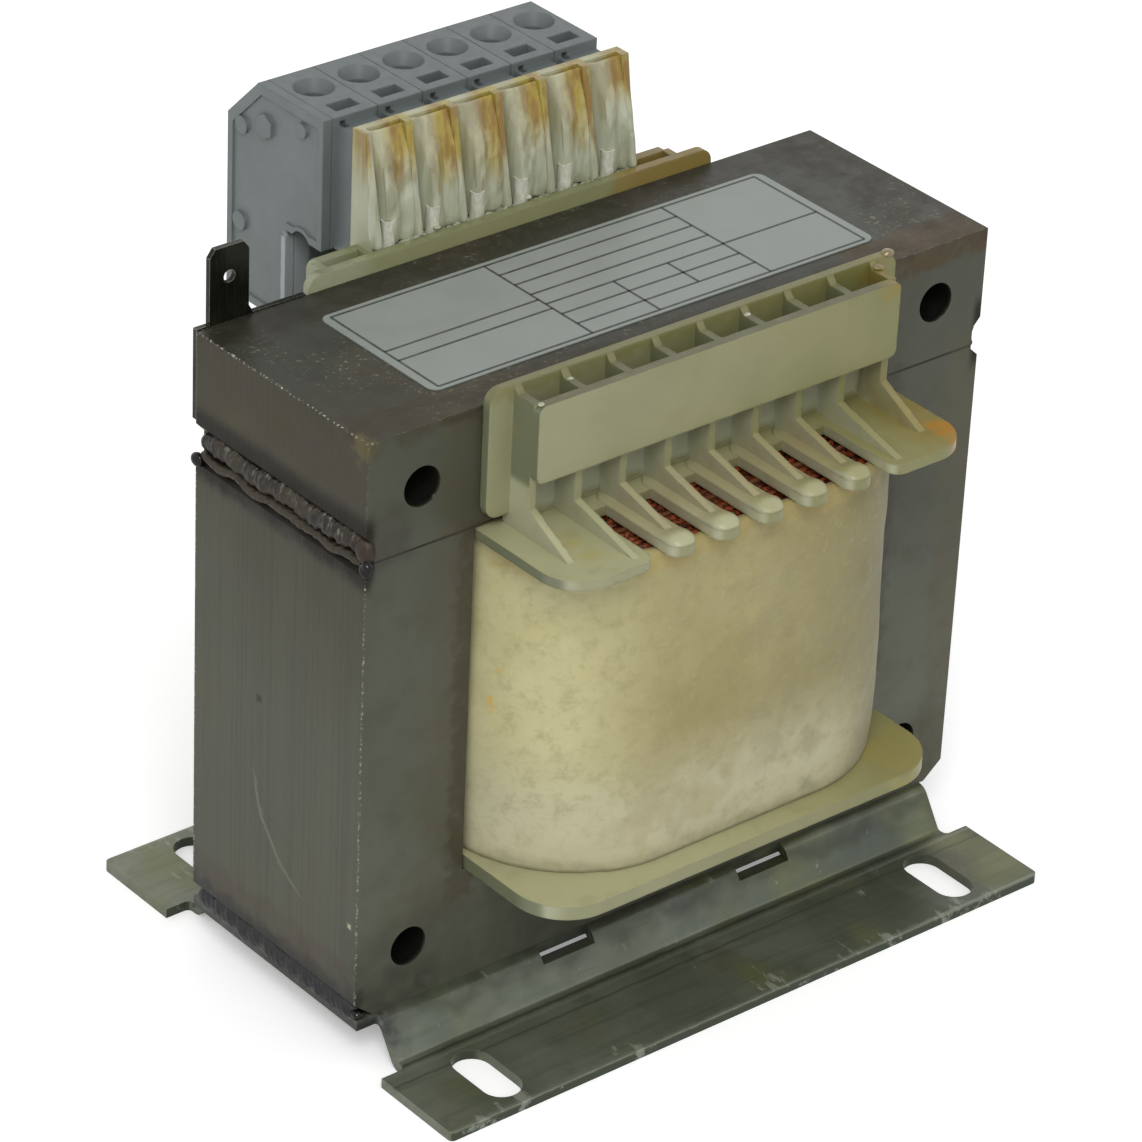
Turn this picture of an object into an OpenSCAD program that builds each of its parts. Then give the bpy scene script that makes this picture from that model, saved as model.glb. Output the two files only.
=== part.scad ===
// Laminated chassis transformer on a folded base sheet, with a row of spring terminals.
// Millimetres. X runs along the wide core face, Y through the stack to the rear, Z up.
// The origin is under the middle of the core, on the plane of the feet.

/* [Core] */
// Width of the core, six times the lamination module
core_w = 105; // [96:0.5:126]
// Thickness of the lamination stack
stack = 36.5; // [30:0.5:48]
// Diameter of the corner holes in the laminations
core_hole = 5.8; // [4.2:0.1:6.6]
// Depth of the weld grooves beside the joint of E and I parts
groove_deep = 1.3; // [0.6:0.1:2]
// Height of the bevel at the lower corners of the core
bevel_h = 2.6; // [1:0.1:3]
// Radius of the weld beads
bead_r = 1.9; // [1.6:0.1:2.4]

/* [Base] */
// Thickness of the base sheet
sheet_t = 1.5; // [1:0.1:2]
// Height of the seat of the core above the feet
seat_h = 7; // [6:0.1:10]
// Width of each foot from the crease to its edge
foot_w = 16.2; // [14:0.1:20]
// Inner radius of the bends in the sheet
bend_r = 0.6; // [0.4:0.1:1]
// Angle of the webs below the horizontal
web_angle = 57; // [50:1:65]
// Width of the slots in the feet
slot_w = 5.8; // [4.2:0.1:6.6]
// Distance between the end centres of a slot
slot_run = 6; // [3:0.5:7]
// Distance of the slots from the ends of the base
slot_inset = 12; // [9:0.5:16]
// Width of the cut-outs in the webs
notch_w = 9; // [6:0.5:12]

/* [Earth tab] */
// Thickness of the earth tab
tab_t = 0.8; // [0.8:0.1:1.2]
// Width of the blade
tab_w = 6.3; // [4.8:0.1:6.3]
// Height of the blade above the core
tab_h = 10.9; // [8:0.1:13]

/* [Bobbin] */
// Wall thickness of the bobbin tube
tube_t = 1.3; // [1:0.1:2]
// Thickness of the lower flange
flange_t = 2; // [1.5:0.1:2.5]
// Thickness of the upper flange
wing_t = 1.4; // [1.2:0.1:1.5]
// How far the flanges reach past the module on the front and rear
flange_over = 1.45; // [0.5:0.05:2]
// Corner radius of the lower flange
flange_r = 8; // [5:0.5:10]
// Width of the wire slots in the upper flange
wire_slot = 3.3; // [2:0.1:3.4]
// Thickness of the back plates
plate_t = 1.3; // [1:0.1:1.6]
// Height of the back plates above the core
plate_rise = 2.3; // [1.5:0.1:3]
// Depth of the cell frame on the terminal side
frame_deep = 5.9; // [5.6:0.1:7]
// Depth of the cell frame on the plain side
front_deep = 6.7; // [5.6:0.1:7]
// Pitch of the cells and of the terminals
pitch = 7.5; // [7.5:0.1:7.8]
// Thickness of the ribs and end walls of the frames
rib_t = 1.2; // [0.9:0.1:1.4]
// Height of the bars of the frames
bar_h = 11.2; // [9:0.1:12]
// Thickness of the bars of the frames
bar_t = 1.4; // [1:0.1:1.8]

/* [Windings] */
// Build of the inner winding
inner_build = 6.8; // [4:0.1:7]
// Thickness of the insulation between the windings
insul_t = 0.6; // [0.3:0.1:1]
// Thickness of the outer wrap
wrap_t = 0.6; // [0.4:0.1:1]
// Corner radius of the outer wrap
wrap_r = 20; // [17:0.5:22]

/* [Wire guide] */
// Height of the wire guide above the bars
comb_h = 16.6; // [15:0.1:20]
// Wall thickness of the wire guide
comb_t = 1.2; // [1:0.1:1.2]
// Reach of the fins above their feet
fin_reach = 3.4; // [2.8:0.1:3.4]
// Diameter of the lead wires
lead_d = 0.8; // [0.5:0.1:0.9]
// Outer diameter of the sleeves on the lead wires
sleeve_d = 2; // [1.8:0.1:2.2]

/* [Terminals] */
// Height of the terminals above the bars
term_h = 16.2; // [15.6:0.1:18]
// Depth of the terminals
term_deep = 21.2; // [20:0.1:23]
// Chamfer along the rear edge of the terminals
term_cham = 6.8; // [4:0.1:7]
// Diameter of the mouth of the wire entries
entry_d = 5.8; // [5:0.1:5.8]
// Thickness of the end plate
end_t = 1.5; // [1.2:0.1:2]

/* [Label] */
// Length of the rating label
label_l = 75.2; // [60:0.1:80]
// Width of the rating label
label_w = 24.3; // [20:0.1:28]
// Thickness of the rating label
label_t = 0.15; // [0.1:0.05:0.3]

/* [Hidden] */
$fn = 64;

// lamination module and heights
u = core_w / 6;
half_w = core_w / 2;
face = stack / 2;
z_win = seat_h + u;
z_joint = seat_h + 4 * u;
z_top = seat_h + 5 * u;
hole_in = u / 2;
bevel_w = bevel_h * 1.2;

// clearances
fit = 0.2;
gap = 0.1;
eps = 0.05;

// base sheet: bends and creases
mid_r = bend_r + sheet_t / 2;
web_drop = seat_h - sheet_t - 2 * mid_r * (1 - cos(web_angle));
web_len = web_drop / sin(web_angle);
crease = face + 2 * mid_r * sin(web_angle) + web_len * cos(web_angle);
base_half = crease + foot_w;
slot_x = half_w - slot_inset;
slot_y = crease + foot_w * 0.52;
web_half = half_w - 3.9;
relief_r = 0.8;
notch_x = u;

// bobbin
tube_x = u + fit + tube_t;
tube_y = face + fit + tube_t;
flange_x = 2 * u - 2 * fit;
flange_y = face + u + flange_over;
z_low = z_win + flange_t;
z_up = z_joint - flange_t;
z_wing = z_up + wing_t;
nose_r = (pitch - wire_slot) / 2;
slot_in = face + min(frame_deep, front_deep) - 1.2;
wing_in = 2.5 * pitch + wire_slot / 2;
plate_y = face + gap;
bar_y = face + frame_deep;
bar_z = z_top + plate_rise - 1;
bar_low = bar_z - bar_h;
plate_z = z_top + plate_rise;
ear_z = z_wing + 1.8;
front_y = face + front_deep;
frame_half = 4 * pitch + rib_t / 2;
cell_y = plate_y + plate_t;

// windings
wrap_x = 2 * u - 5 * fit;
wrap_y = flange_y - 3.5;
coil_z = flange_t + gap;
in_x = tube_x + gap;
in_y = tube_y + gap;
mid_x = in_x + inner_build;
mid_y = in_y + inner_build;
out_x = mid_x + insul_t;
out_y = mid_y + insul_t;

// wire guide and terminals
comb_y = bar_y + eps;
neck_y = comb_y + comb_t + eps;
comb_half = 3 * pitch - 0.1;
fin_foot = cell_y + 0.9 + 0.25;
body_y = bar_y + 5.5;
rear_y = body_y + term_deep;
leg_y = body_y + 7.9;
body_z = bar_z + term_h;
step_z = bar_z - 3;
foot_z = bar_z - 17.3;
pin_z = bar_z + 3;
pin_top = bar_z + 12.4;
pin_y = comb_y - 0.9;
pin_off = 1.2;
entry_y = body_y + 9.15;
key_y = body_y + 2.75;
key_z = step_z - 1.2;
spring_y = body_y + 5;
spring_z = body_z - 8.9;
contact_y = entry_y + 2.3;
cell_x = [for (k = [-2.5 : 2.5]) k * pitch];
fin_x = [rib_t / 2 - comb_half, for (k = [-2 : 2]) k * pitch, comb_half - rib_t / 2];
lead_off = 0.7;
lead_y = (cell_y + bar_y - bar_t) / 2;
lead_bend = bar_z + 4.6;
lead_top = bar_z + 12.6;
lead_back = 1.5;

// colours
steel = [0.36, 0.36, 0.33];
weld = [0.22, 0.20, 0.19];
zinc = [0.55, 0.57, 0.52];
nylon = [0.72, 0.72, 0.56];
copper = [0.55, 0.26, 0.15];
paper = [0.80, 0.76, 0.60];
grey = [0.52, 0.55, 0.55];
tin = [0.75, 0.76, 0.77];

// 2D outline along Y and Z, drawn out along X
module along_x(len) {
  rotate([90, 0, 90]) linear_extrude(len, center = true) children();
}

// 2D outline along X and Z, drawn out along Y
module along_y(len) {
  rotate([90, 0, 0]) linear_extrude(len, center = true) children();
}

// block from one corner to the other
module block(a, b) {
  translate(a) cube(b - a);
}

// rectangle with round corners, given by its half sizes
module round_rect(hx, hy, r) {
  square([2 * hx, 2 * (hy - r)], center = true);
  square([2 * (hx - r), 2 * hy], center = true);
  for (x = [-1, 1], y = [-1, 1]) translate([x * (hx - r), y * (hy - r)]) circle(r);
}

// weld groove beside the joint, right side, seen along Y
module groove() {
  polygon([
    [half_w + 1, z_joint - 1.8], [half_w, z_joint - 1.8], [half_w - groove_deep, z_joint - 0.6],
    [half_w - groove_deep, z_joint + 2.6], [half_w, z_joint + 4], [half_w + 1, z_joint + 4]
  ]);
}

// bevel at a lower corner of the core, seen along Y
module bevel() {
  polygon([
    [half_w - bevel_w, seat_h - 1], [half_w - bevel_w, seat_h],
    [half_w, seat_h + bevel_h], [half_w + 1, seat_h + bevel_h], [half_w + 1, seat_h - 1]
  ]);
}

module core_e_stack() {
  color(steel) along_y(stack) difference() {
    translate([-half_w, seat_h]) square([core_w, 4 * u]);
    for (x = [-1, 1]) {
      translate([x * 1.5 * u - u / 2, z_win]) square([u, 3 * u + 1]);
      mirror([x < 0 ? 1 : 0, 0]) groove();
      translate([x * (half_w - hole_in), seat_h + hole_in]) circle(d = core_hole);
      mirror([x < 0 ? 1 : 0, 0]) bevel();
    }
  }
}

module core_i_yoke() {
  color(steel) along_y(stack) difference() {
    translate([-half_w, z_joint]) square([core_w, u]);
    for (x = [-1, 1]) {
      mirror([x < 0 ? 1 : 0, 0]) groove();
      translate([x * (half_w - hole_in), z_top - hole_in]) circle(d = core_hole);
    }
  }
}

// bead in the lower half of a weld groove
module joint_bead() {
  color(weld) along_y(stack - 2) intersection() {
    translate([half_w - groove_deep, z_joint + 0.1]) circle(bead_r);
    union() {
      groove();
      translate([half_w, z_joint - 1.8]) square([2, 5]);
    }
  }
}

module weld_joint_left() {
  mirror([1, 0, 0]) joint_bead();
}

module weld_joint_right() {
  joint_bead();
}

// bead between the left bevel of the core and the top of the sheet
module weld_base_left() {
  color(weld) mirror([1, 0, 0]) along_y(stack - 1) intersection() {
    translate([half_w - 1.5, seat_h + 0.9]) circle(bead_r + 0.2);
    polygon([
      [half_w - bevel_w, seat_h], [half_w, seat_h + bevel_h],
      [half_w + 2, seat_h + bevel_h], [half_w + 2, seat_h]
    ]);
  }
}

// bead between the right bevel of the core and the end of the sheet
module weld_base_right() {
  color(weld) along_y(stack - 3) intersection() {
    translate([web_half + 0.9, seat_h - 0.2]) circle(bead_r - 0.2);
    polygon([
      [web_half, 0], [web_half, seat_h], [half_w - bevel_w, seat_h],
      [half_w, seat_h + bevel_h], [half_w + 2, 0]
    ]);
  }
}

// points along an arc about a centre, from one angle to another
function arc(c, r, from, to) = [for (i = [0 : 8]) c + r * [cos(from + (to - from) * i / 8),
  sin(from + (to - from) * i / 8)]];

// the same points on the other side, in reverse order
function flip(points) = [for (i = [len(points) - 1 : -1 : 0]) [-points[i][0], points[i][1]]];

// folded sheet seen along X: seat, two bends and a web on each side, and the feet
module sheet_profile() {
  r = bend_r + sheet_t;
  upper = [face, seat_h - r];
  lower = [crease, r];
  side = concat(
    arc(upper, r, 90, 90 - web_angle), arc(lower, bend_r, 270 - web_angle, 270),
    [[base_half, sheet_t], [base_half, 0]],
    arc(lower, r, 270, 270 - web_angle), arc(upper, bend_r, 90 - web_angle, 90)
  );
  polygon(concat(side, flip(side)));
}

// relief cut at the end of a web, with round inner corners
module web_relief() {
  y_in = face + 0.2;
  y_out = crease + 1.2;
  block([web_half + relief_r, y_in, -1], [half_w + 1, y_out, seat_h + 1]);
  block([web_half, y_in + relief_r, -1], [half_w + 1, y_out - relief_r, seat_h + 1]);
  for (y = [y_in + relief_r, y_out - relief_r]) {
    translate([web_half + relief_r, y, -1]) cylinder(r = relief_r, h = seat_h + 2);
  }
}

// slot in a foot
module foot_slot() {
  for (s = [-1, 1]) translate([0, s * slot_run / 2, -1]) cylinder(d = slot_w, h = sheet_t + 2);
  block([-slot_w / 2, -slot_run / 2, -1], [slot_w / 2, slot_run / 2, sheet_t + 1]);
}

// what is cut away to round a corner of a foot
module foot_corner(r) {
  difference() {
    block([half_w - r, base_half - r, -1], [half_w + 1, base_half + 1, sheet_t + 1]);
    translate([half_w - r, base_half - r, -2]) cylinder(r = r, h = sheet_t + 4);
  }
}

module base_plate() {
  color(zinc) difference() {
    along_x(core_w) sheet_profile();
    for (x = [0, 1], y = [0, 1]) mirror([x, 0, 0]) mirror([0, y, 0]) {
      web_relief();
      translate([slot_x, slot_y, 0]) foot_slot();
      foot_corner(0.8);
      block([half_w - 0.3, -1, sheet_t + 1], [half_w + 1, face + 1, seat_h + 1]);
      block([notch_x - notch_w / 2, face + 0.1, seat_h - sheet_t - 0.3],
        [notch_x + notch_w / 2, crease + 1, seat_h + 1]);
    }
    block([web_half, -face - 1, sheet_t + 1], [half_w + 1, face + 1, seat_h + 1]);
  }
}

// earth tab seen along Y: plate behind the yoke and the blade above it
module earth_tab_plate() {
  tab_x = -half_w + 2 + tab_w / 2;
  color(zinc) translate([0, face + tab_t / 2, 0]) along_y(tab_t) difference() {
    union() {
      translate([-half_w, z_top - 13]) square([u, 13.2]);
      polygon([
        [tab_x - tab_w / 2, z_top], [tab_x + tab_w / 2 + 0.8, z_top],
        [tab_x + tab_w / 2, z_top + 1.4], [tab_x + tab_w / 2, z_top + tab_h - 1.2],
        [tab_x + tab_w / 2 - 0.9, z_top + tab_h], [tab_x - tab_w / 2 + 0.9, z_top + tab_h],
        [tab_x - tab_w / 2, z_top + tab_h - 1.2]
      ]);
    }
    translate([-half_w + hole_in, z_top - hole_in]) circle(d = core_hole);
    translate([tab_x, z_top + 6.5]) circle(d = 1.8);
  }
}

// outline of the upper flange with wire slots, round fingers and wings
module upper_flange() {
  difference() {
    union() {
      difference() {
        round_rect(flange_x, flange_y, flange_r - 2);
        for (s = [-1, 1]) translate([0, s * flange_y]) {
          square([2 * (wing_in + 2), 4], center = true);
          square([2 * wing_in, 2 * nose_r], center = true);
        }
      }
      for (s = [-1, 1]) {
        for (k = [-2 : 2]) translate([k * pitch, s * (flange_y - nose_r)]) circle(nose_r);
        for (x = [-1, 1]) translate([x * (wing_in + 2), s * (flange_y - 2)]) circle(2);
      }
    }
    for (x = cell_x, s = [-1, 1]) {
      translate([x, s * (slot_in + 10)]) square([wire_slot, 20], center = true);
    }
    square([2 * (u + fit), 2 * (face + fit)], center = true);
  }
}

// gusset rib seen along X, from the back plate to the toe on the flange
module rib(at, toe, knee) {
  along_x(rib_t) polygon([
    [cell_y - eps, z_wing - 0.5], [toe, z_wing - 0.5], [toe, z_wing], [at - bar_t, knee],
    [at - bar_t, bar_low + 1], [at - bar_t + 0.3, bar_low + 1], [at - bar_t + 0.3, bar_z],
    [cell_y + 0.9, bar_z], [cell_y - eps, plate_z]
  ]);
}

// frame of open cells beside one face of the core, with the outside of its bar at a stated y
module cell_frame(at) {
  along = [for (k = [-3 : 3]) k * pitch];
  for (x = along) translate([x, 0, 0]) rib(at, flange_y - 1.6, z_wing + 3);
  for (x = [-4, 4]) translate([x * pitch, 0, 0]) rib(at, flange_y - 5.5, z_wing + 4);
  translate([0, at - bar_t / 2, (bar_low + bar_z) / 2]) along_y(bar_t) {
    round_rect(frame_half, bar_h / 2, 1.2);
  }
  translate([0, plate_y + plate_t / 2, (ear_z + plate_z) / 2]) along_y(plate_t) {
    round_rect(flange_x - fit, (plate_z - ear_z) / 2, 2);
  }
  block([-frame_half, plate_y, z_wing - 0.5], [frame_half, cell_y, ear_z + 3]);
}

module bobbin() {
  color(nylon) {
    translate([0, 0, z_win]) linear_extrude(z_joint - z_win) difference() {
      round_rect(tube_x, tube_y, 1);
      square([2 * (u + fit), 2 * (face + fit)], center = true);
    }
    translate([0, 0, z_win]) linear_extrude(flange_t) difference() {
      round_rect(flange_x, flange_y, flange_r);
      square([2 * (u + fit), 2 * (face + fit)], center = true);
    }
    translate([0, 0, z_up]) linear_extrude(wing_t) upper_flange();
    cell_frame(bar_y);
    mirror([0, 1, 0]) cell_frame(front_y);
  }
}

// closed layer of the coil between two rounded outlines
module layer(ax, ay, ar, bx, by, br, trim) {
  translate([0, 0, z_win + coil_z + trim]) {
    linear_extrude(z_joint - z_win - 2 * (coil_z + trim)) difference() {
      round_rect(bx, by, br);
      round_rect(ax, ay, ar);
    }
  }
}

module inner_winding() {
  color(copper) layer(in_x, in_y, 0.8, mid_x, mid_y, 8, 0.1);
}

module winding_insulation() {
  color(paper) layer(mid_x, mid_y, 8, out_x, out_y, 8 + insul_t, 0);
}

module outer_winding() {
  color(copper) layer(out_x, out_y, 8 + insul_t, wrap_x - wrap_t, wrap_y - wrap_t, wrap_r - wrap_t, 0.1);
}

module outer_wrap() {
  color(paper) layer(wrap_x - wrap_t, wrap_y - wrap_t, wrap_r - wrap_t, wrap_x, wrap_y, wrap_r, 0);
}

module wire_comb() {
  color(paper) difference() {
    union() {
      block([-comb_half, comb_y, bar_low + 4], [comb_half, comb_y + comb_t, bar_z + comb_h]);
      for (x = fin_x) translate([x, 0, 0]) along_x(rib_t) polygon([
        [comb_y + eps, bar_z], [fin_foot, bar_z], [comb_y - fin_reach, bar_z + 3],
        [comb_y - 1.3, bar_z + comb_h], [comb_y + eps, bar_z + comb_h]
      ]);
    }
    for (x = cell_x) translate([x + pin_off, comb_y - 1, pin_z]) rotate([-90, 0, 0]) {
      cylinder(d = 1.6, h = 4);
    }
  }
}

// round wire along Z
module wire(l) {
  cylinder(d = lead_d, h = l, $fn = 16);
}

// round bend that starts straight up and turns by an angle towards -Y, or towards +Y if negative
module elbow(r, angle) {
  s = angle < 0 ? 1 : -1;
  translate([0, s * r, 0]) rotate([90, 0, -s * 90]) {
    rotate_extrude(angle = abs(angle), $fn = 48) translate([r, 0]) circle(d = lead_d, $fn = 16);
  }
}

// lead wire: up through a slot of the flange, under the bar, through a cell and along the guide
module lead() {
  r = 1.8;
  y_up = flange_y - 8;
  z_run = bar_low - 2.9;
  run = y_up - lead_y - 2 * r;
  rise = lead_top - lead_bend;
  bow = 2 * atan2(lead_back, rise);
  translate([0, y_up, z_up - 0.2]) wire(z_run - r - z_up + 0.2);
  translate([0, y_up, z_run - r]) elbow(r, 90);
  translate([0, y_up - r, z_run]) rotate([90, 0, 0]) wire(run);
  translate([0, lead_y, z_run + r]) mirror([0, 0, 1]) elbow(r, -90);
  translate([0, lead_y, z_run + r]) wire(lead_bend - z_run - r);
  translate([0, lead_y, lead_bend]) elbow(rise / sin(bow), -bow);
}

module lead_wires() {
  color(copper) for (x = cell_x) translate([x - lead_off, 0, 0]) lead();
}

module lead_sleeves() {
  color(paper) for (x = cell_x) translate([x - lead_off, lead_y, bar_low + 0.5]) {
    difference() {
      cylinder(d = sleeve_d, h = lead_bend - bar_low - 1);
      translate([0, 0, -1]) cylinder(d = lead_d + 0.6, h = lead_bend - bar_low + 2);
    }
  }
}

// side outline of a terminal, seen along X
module terminal_profile() {
  polygon([
    [body_y, step_z], [body_y, body_z], [rear_y - term_cham, body_z], [rear_y, body_z - term_cham],
    [rear_y, foot_z], [leg_y, foot_z], [leg_y, step_z]
  ]);
}

// one terminal housing with its chamber, wire entry and release hole
module terminal(k) {
  x = cell_x[k - 1];
  w = pitch / 2 - gap / 2;
  translate([x, 0, 0]) color(grey) difference() {
    union() {
      along_x(2 * w) terminal_profile();
      block([-w + 0.6, neck_y, step_z], [w - 0.6, body_y + eps, body_z - 1.2]);
      block([0.9, neck_y, bar_low - 1.5], [2.9, neck_y + 1.4, step_z + eps]);
      block([0.9, bar_y - bar_t, bar_low - 1.5], [2.9, neck_y + eps, bar_low - gap]);
    }
    block([-w + 0.8, body_y + 1.4, step_z + 1.4], [w - 0.8, rear_y - 1.6, body_z - term_cham + 1.4]);
    block([-w + 0.8, leg_y + 1.4, foot_z + 1.4], [w - 0.8, rear_y - 1.6, step_z + 2]);
    translate([0, entry_y, body_z - term_cham]) cylinder(d = 4.2, h = term_cham + 1);
    translate([0, entry_y, body_z - 1.8]) cylinder(d1 = 4.2, d2 = entry_d, h = 1.8 + eps);
    block([-2, key_y - 1.2, body_z - term_cham], [2, key_y + 1.2, body_z + 1]);
    translate([pin_off, neck_y - 1, pin_z]) rotate([-90, 0, 0]) cylinder(d = 1.6, h = 10);
    block([-2.5, body_y - 1, body_z - 2.2], [-1.6, body_y + 0.7, body_z - 0.7]);
  }
}

module terminal_1() {
  terminal(1);
}

module terminal_2() {
  terminal(2);
}

module terminal_3() {
  terminal(3);
}

module terminal_4() {
  terminal(4);
}

module terminal_5() {
  terminal(5);
}

module terminal_6() {
  terminal(6);
}

// end plate with a raised rim, a hexagonal boss and three round ones
module terminal_end_plate() {
  x_in = -3 * pitch;
  x_out = x_in - end_t;
  color(grey) difference() {
    union() {
      translate([x_in - end_t / 2, 0, 0]) along_x(end_t) terminal_profile();
      translate([x_out - 0.25, body_y + 12.9, body_z - 5.8]) rotate([0, 90, 0]) {
        cylinder(r = 1.9, h = 1, $fn = 6);
      }
      for (p = [[18, 7.6, 1.3], [4.7, 3.2, 1.1], [18.3, 22.1, 1.4]]) {
        translate([x_out - 0.2, body_y + p[0], body_z - p[1]]) rotate([0, 90, 0]) {
          cylinder(r = p[2], h = 1);
        }
      }
    }
    translate([x_out - 1, body_y + 4.6, key_z]) rotate([0, 90, 0]) cylinder(r = 2.2, h = end_t + 2);
    difference() {
      translate([x_out, 0, 0]) along_x(0.6) intersection() {
        translate([1.1, -1.1]) terminal_profile();
        translate([-1.1, -1.1]) terminal_profile();
        translate([-0.3, -1.6]) terminal_profile();
        translate([0, 1.1]) terminal_profile();
      }
      translate([x_out - 1, body_y + 12.9, body_z - 5.8]) rotate([0, 90, 0]) {
        cylinder(r = 1.9, h = 2, $fn = 6);
      }
      for (p = [[18, 7.6, 1.3], [4.7, 3.2, 1.1], [18.3, 22.1, 1.4]]) {
        translate([x_out - 1, body_y + p[0], body_z - p[1]]) rotate([0, 90, 0]) {
          cylinder(r = p[2], h = 2);
        }
      }
      translate([x_out - 1, body_y + 4.6, key_z]) rotate([0, 90, 0]) cylinder(r = 2.8, h = 2);
    }
  }
}

// clamp spring: an open loop with a leg that closes the wire entry
module clamp_spring() {
  color(tin) along_x(4.4) {
    translate([spring_y, spring_z]) difference() {
      circle(3.3);
      circle(2.9);
      polygon([[0, 0], [6, -1.2], [6, -6], [1.2, -6]]);
    }
    translate([spring_y + 3.08, spring_z - 0.35]) rotate(-52) translate([0, -0.2]) square([4.1, 0.4]);
  }
}

module clamp_springs() {
  for (x = cell_x) translate([x, 0, 0]) clamp_spring();
}

// current bar: contact plate, foot and solder pin in the wire guide
module current_bar() {
  color(tin) {
    block([-2.1, contact_y, pin_z - 0.4], [2.1, contact_y + 0.8, body_z - term_cham - 0.6]);
    block([-1.4, body_y + 2, pin_z - 0.4], [1.9, contact_y + eps, pin_z + 0.4]);
    translate([pin_off, 0, 0]) {
      translate([0, body_y + 2.5, pin_z]) rotate([90, 0, 0]) {
        cylinder(d = 1, h = body_y + 2.5 - pin_y, $fn = 16);
      }
      translate([0, pin_y, pin_z - 0.5]) cylinder(d = 1, h = pin_top - pin_z, $fn = 16);
    }
  }
}

module current_bars() {
  for (x = cell_x) translate([x, 0, 0]) current_bar();
}

module rating_label() {
  color(tin) translate([0, 0, z_top]) linear_extrude(label_t) {
    round_rect(label_l / 2, label_w / 2, 1.5);
  }
}

core_e_stack();
core_i_yoke();
weld_joint_left();
weld_joint_right();
weld_base_left();
weld_base_right();
base_plate();
earth_tab_plate();
bobbin();
inner_winding();
winding_insulation();
outer_winding();
outer_wrap();
wire_comb();
lead_sleeves();
lead_wires();
terminal_1();
terminal_2();
terminal_3();
terminal_4();
terminal_5();
terminal_6();
terminal_end_plate();
clamp_springs();
current_bars();
rating_label();
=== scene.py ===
import bmesh
import bpy
import numpy as np
from mathutils import Matrix, Vector


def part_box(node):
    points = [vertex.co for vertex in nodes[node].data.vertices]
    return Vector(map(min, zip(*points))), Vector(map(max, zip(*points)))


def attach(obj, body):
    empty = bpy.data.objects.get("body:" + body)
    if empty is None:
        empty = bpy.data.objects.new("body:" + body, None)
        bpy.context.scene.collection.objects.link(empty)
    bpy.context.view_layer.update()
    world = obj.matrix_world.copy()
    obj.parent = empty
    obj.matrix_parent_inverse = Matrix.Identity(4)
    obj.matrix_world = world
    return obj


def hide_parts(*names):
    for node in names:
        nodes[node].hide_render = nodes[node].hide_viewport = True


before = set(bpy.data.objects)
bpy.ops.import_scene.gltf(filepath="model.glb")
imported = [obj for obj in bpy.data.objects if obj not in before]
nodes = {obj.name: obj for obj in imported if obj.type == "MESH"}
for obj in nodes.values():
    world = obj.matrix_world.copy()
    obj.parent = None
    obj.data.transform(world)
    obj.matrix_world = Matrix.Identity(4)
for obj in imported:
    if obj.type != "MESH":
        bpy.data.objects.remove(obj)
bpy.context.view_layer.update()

# ------------------------------ studio
# A wide pale floor, one large soft lamp in front and to the left, a weaker one
# to the right, and a long lens that looks down on the transformer from the left.

mm = 0.001


def tone(red, green, blue):
    """Linear colour of a surface that shows as this red, green and blue on a screen, 0 to 255 each."""
    shown = np.array([red, green, blue]) / 255.0
    linear = np.where(shown <= 0.04045, shown / 12.92, ((shown + 0.055) / 1.055) ** 2.4)
    return (*[float(c) for c in linear], 1.0)


def put(tree, kind, wires=None, **settings):
    """Adds a shader node. wires sets its inputs, by name or number, to a value or another node's output."""
    node = tree.nodes.new("ShaderNode" + kind)
    for key, value in settings.items():
        setattr(node, key, value)
    for key, value in (wires or {}).items():
        if isinstance(value, bpy.types.NodeSocket):
            tree.links.new(value, node.inputs[key])
        else:
            node.inputs[key].default_value = value
    return node


def finish_of(name, **sockets):
    """A new material with one Principled shader, whose constant sockets are set here."""
    mat = bpy.data.materials.new(name)
    mat.use_nodes = True
    tree = mat.node_tree
    shader = tree.nodes["Principled BSDF"]
    for key, value in sockets.items():
        shader.inputs[key.replace("_", " ")].default_value = value
    return mat, tree, shader


def mesh_piece(name, points, faces, mat, smooth=True):
    """An object made from points and faces, with doubles merged and its faces turned outwards."""
    mesh = bpy.data.meshes.new(name)
    mesh.from_pydata(np.asarray(points).reshape(-1, 3).tolist(), [], np.asarray(faces).tolist())
    work = bmesh.new()
    work.from_mesh(mesh)
    bmesh.ops.remove_doubles(work, verts=work.verts, dist=1e-6)
    bmesh.ops.recalc_face_normals(work, faces=work.faces)
    work.to_mesh(mesh)
    work.free()
    mesh.polygons.foreach_set("use_smooth", np.full(len(mesh.polygons), smooth))
    mesh.materials.append(mat)
    piece = bpy.data.objects.new(name, mesh)
    bpy.context.scene.collection.objects.link(piece)
    return piece


floor_half = 6.0
floor_gap = 0.02 * mm
floor_lift = 0.30
floor_mat, tree, shader = finish_of("floor_pale", Base_Color=(0.93, 0.93, 0.93, 1.0), Roughness=0.9,
                                    Specular_IOR_Level=0.0)
seen = put(tree, "LightPath").outputs["Is Camera Ray"]
seen = put(tree, "Math", {0: seen, 1: floor_lift}, operation="MULTIPLY").outputs[0]
lift = put(tree, "Emission", {"Color": (1, 1, 1, 1), "Strength": seen})
both = put(tree, "AddShader", {0: shader.outputs[0], 1: lift.outputs[0]})
tree.links.new(both.outputs[0], tree.nodes["Material Output"].inputs["Surface"])
corners = np.array([[-1, -1, 0], [1, -1, 0], [1, 1, 0], [-1, 1, 0]]) * floor_half
floor = mesh_piece("studio_floor", corners - [0, 0, floor_gap], [[0, 1, 2, 3]], floor_mat, smooth=False)

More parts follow.
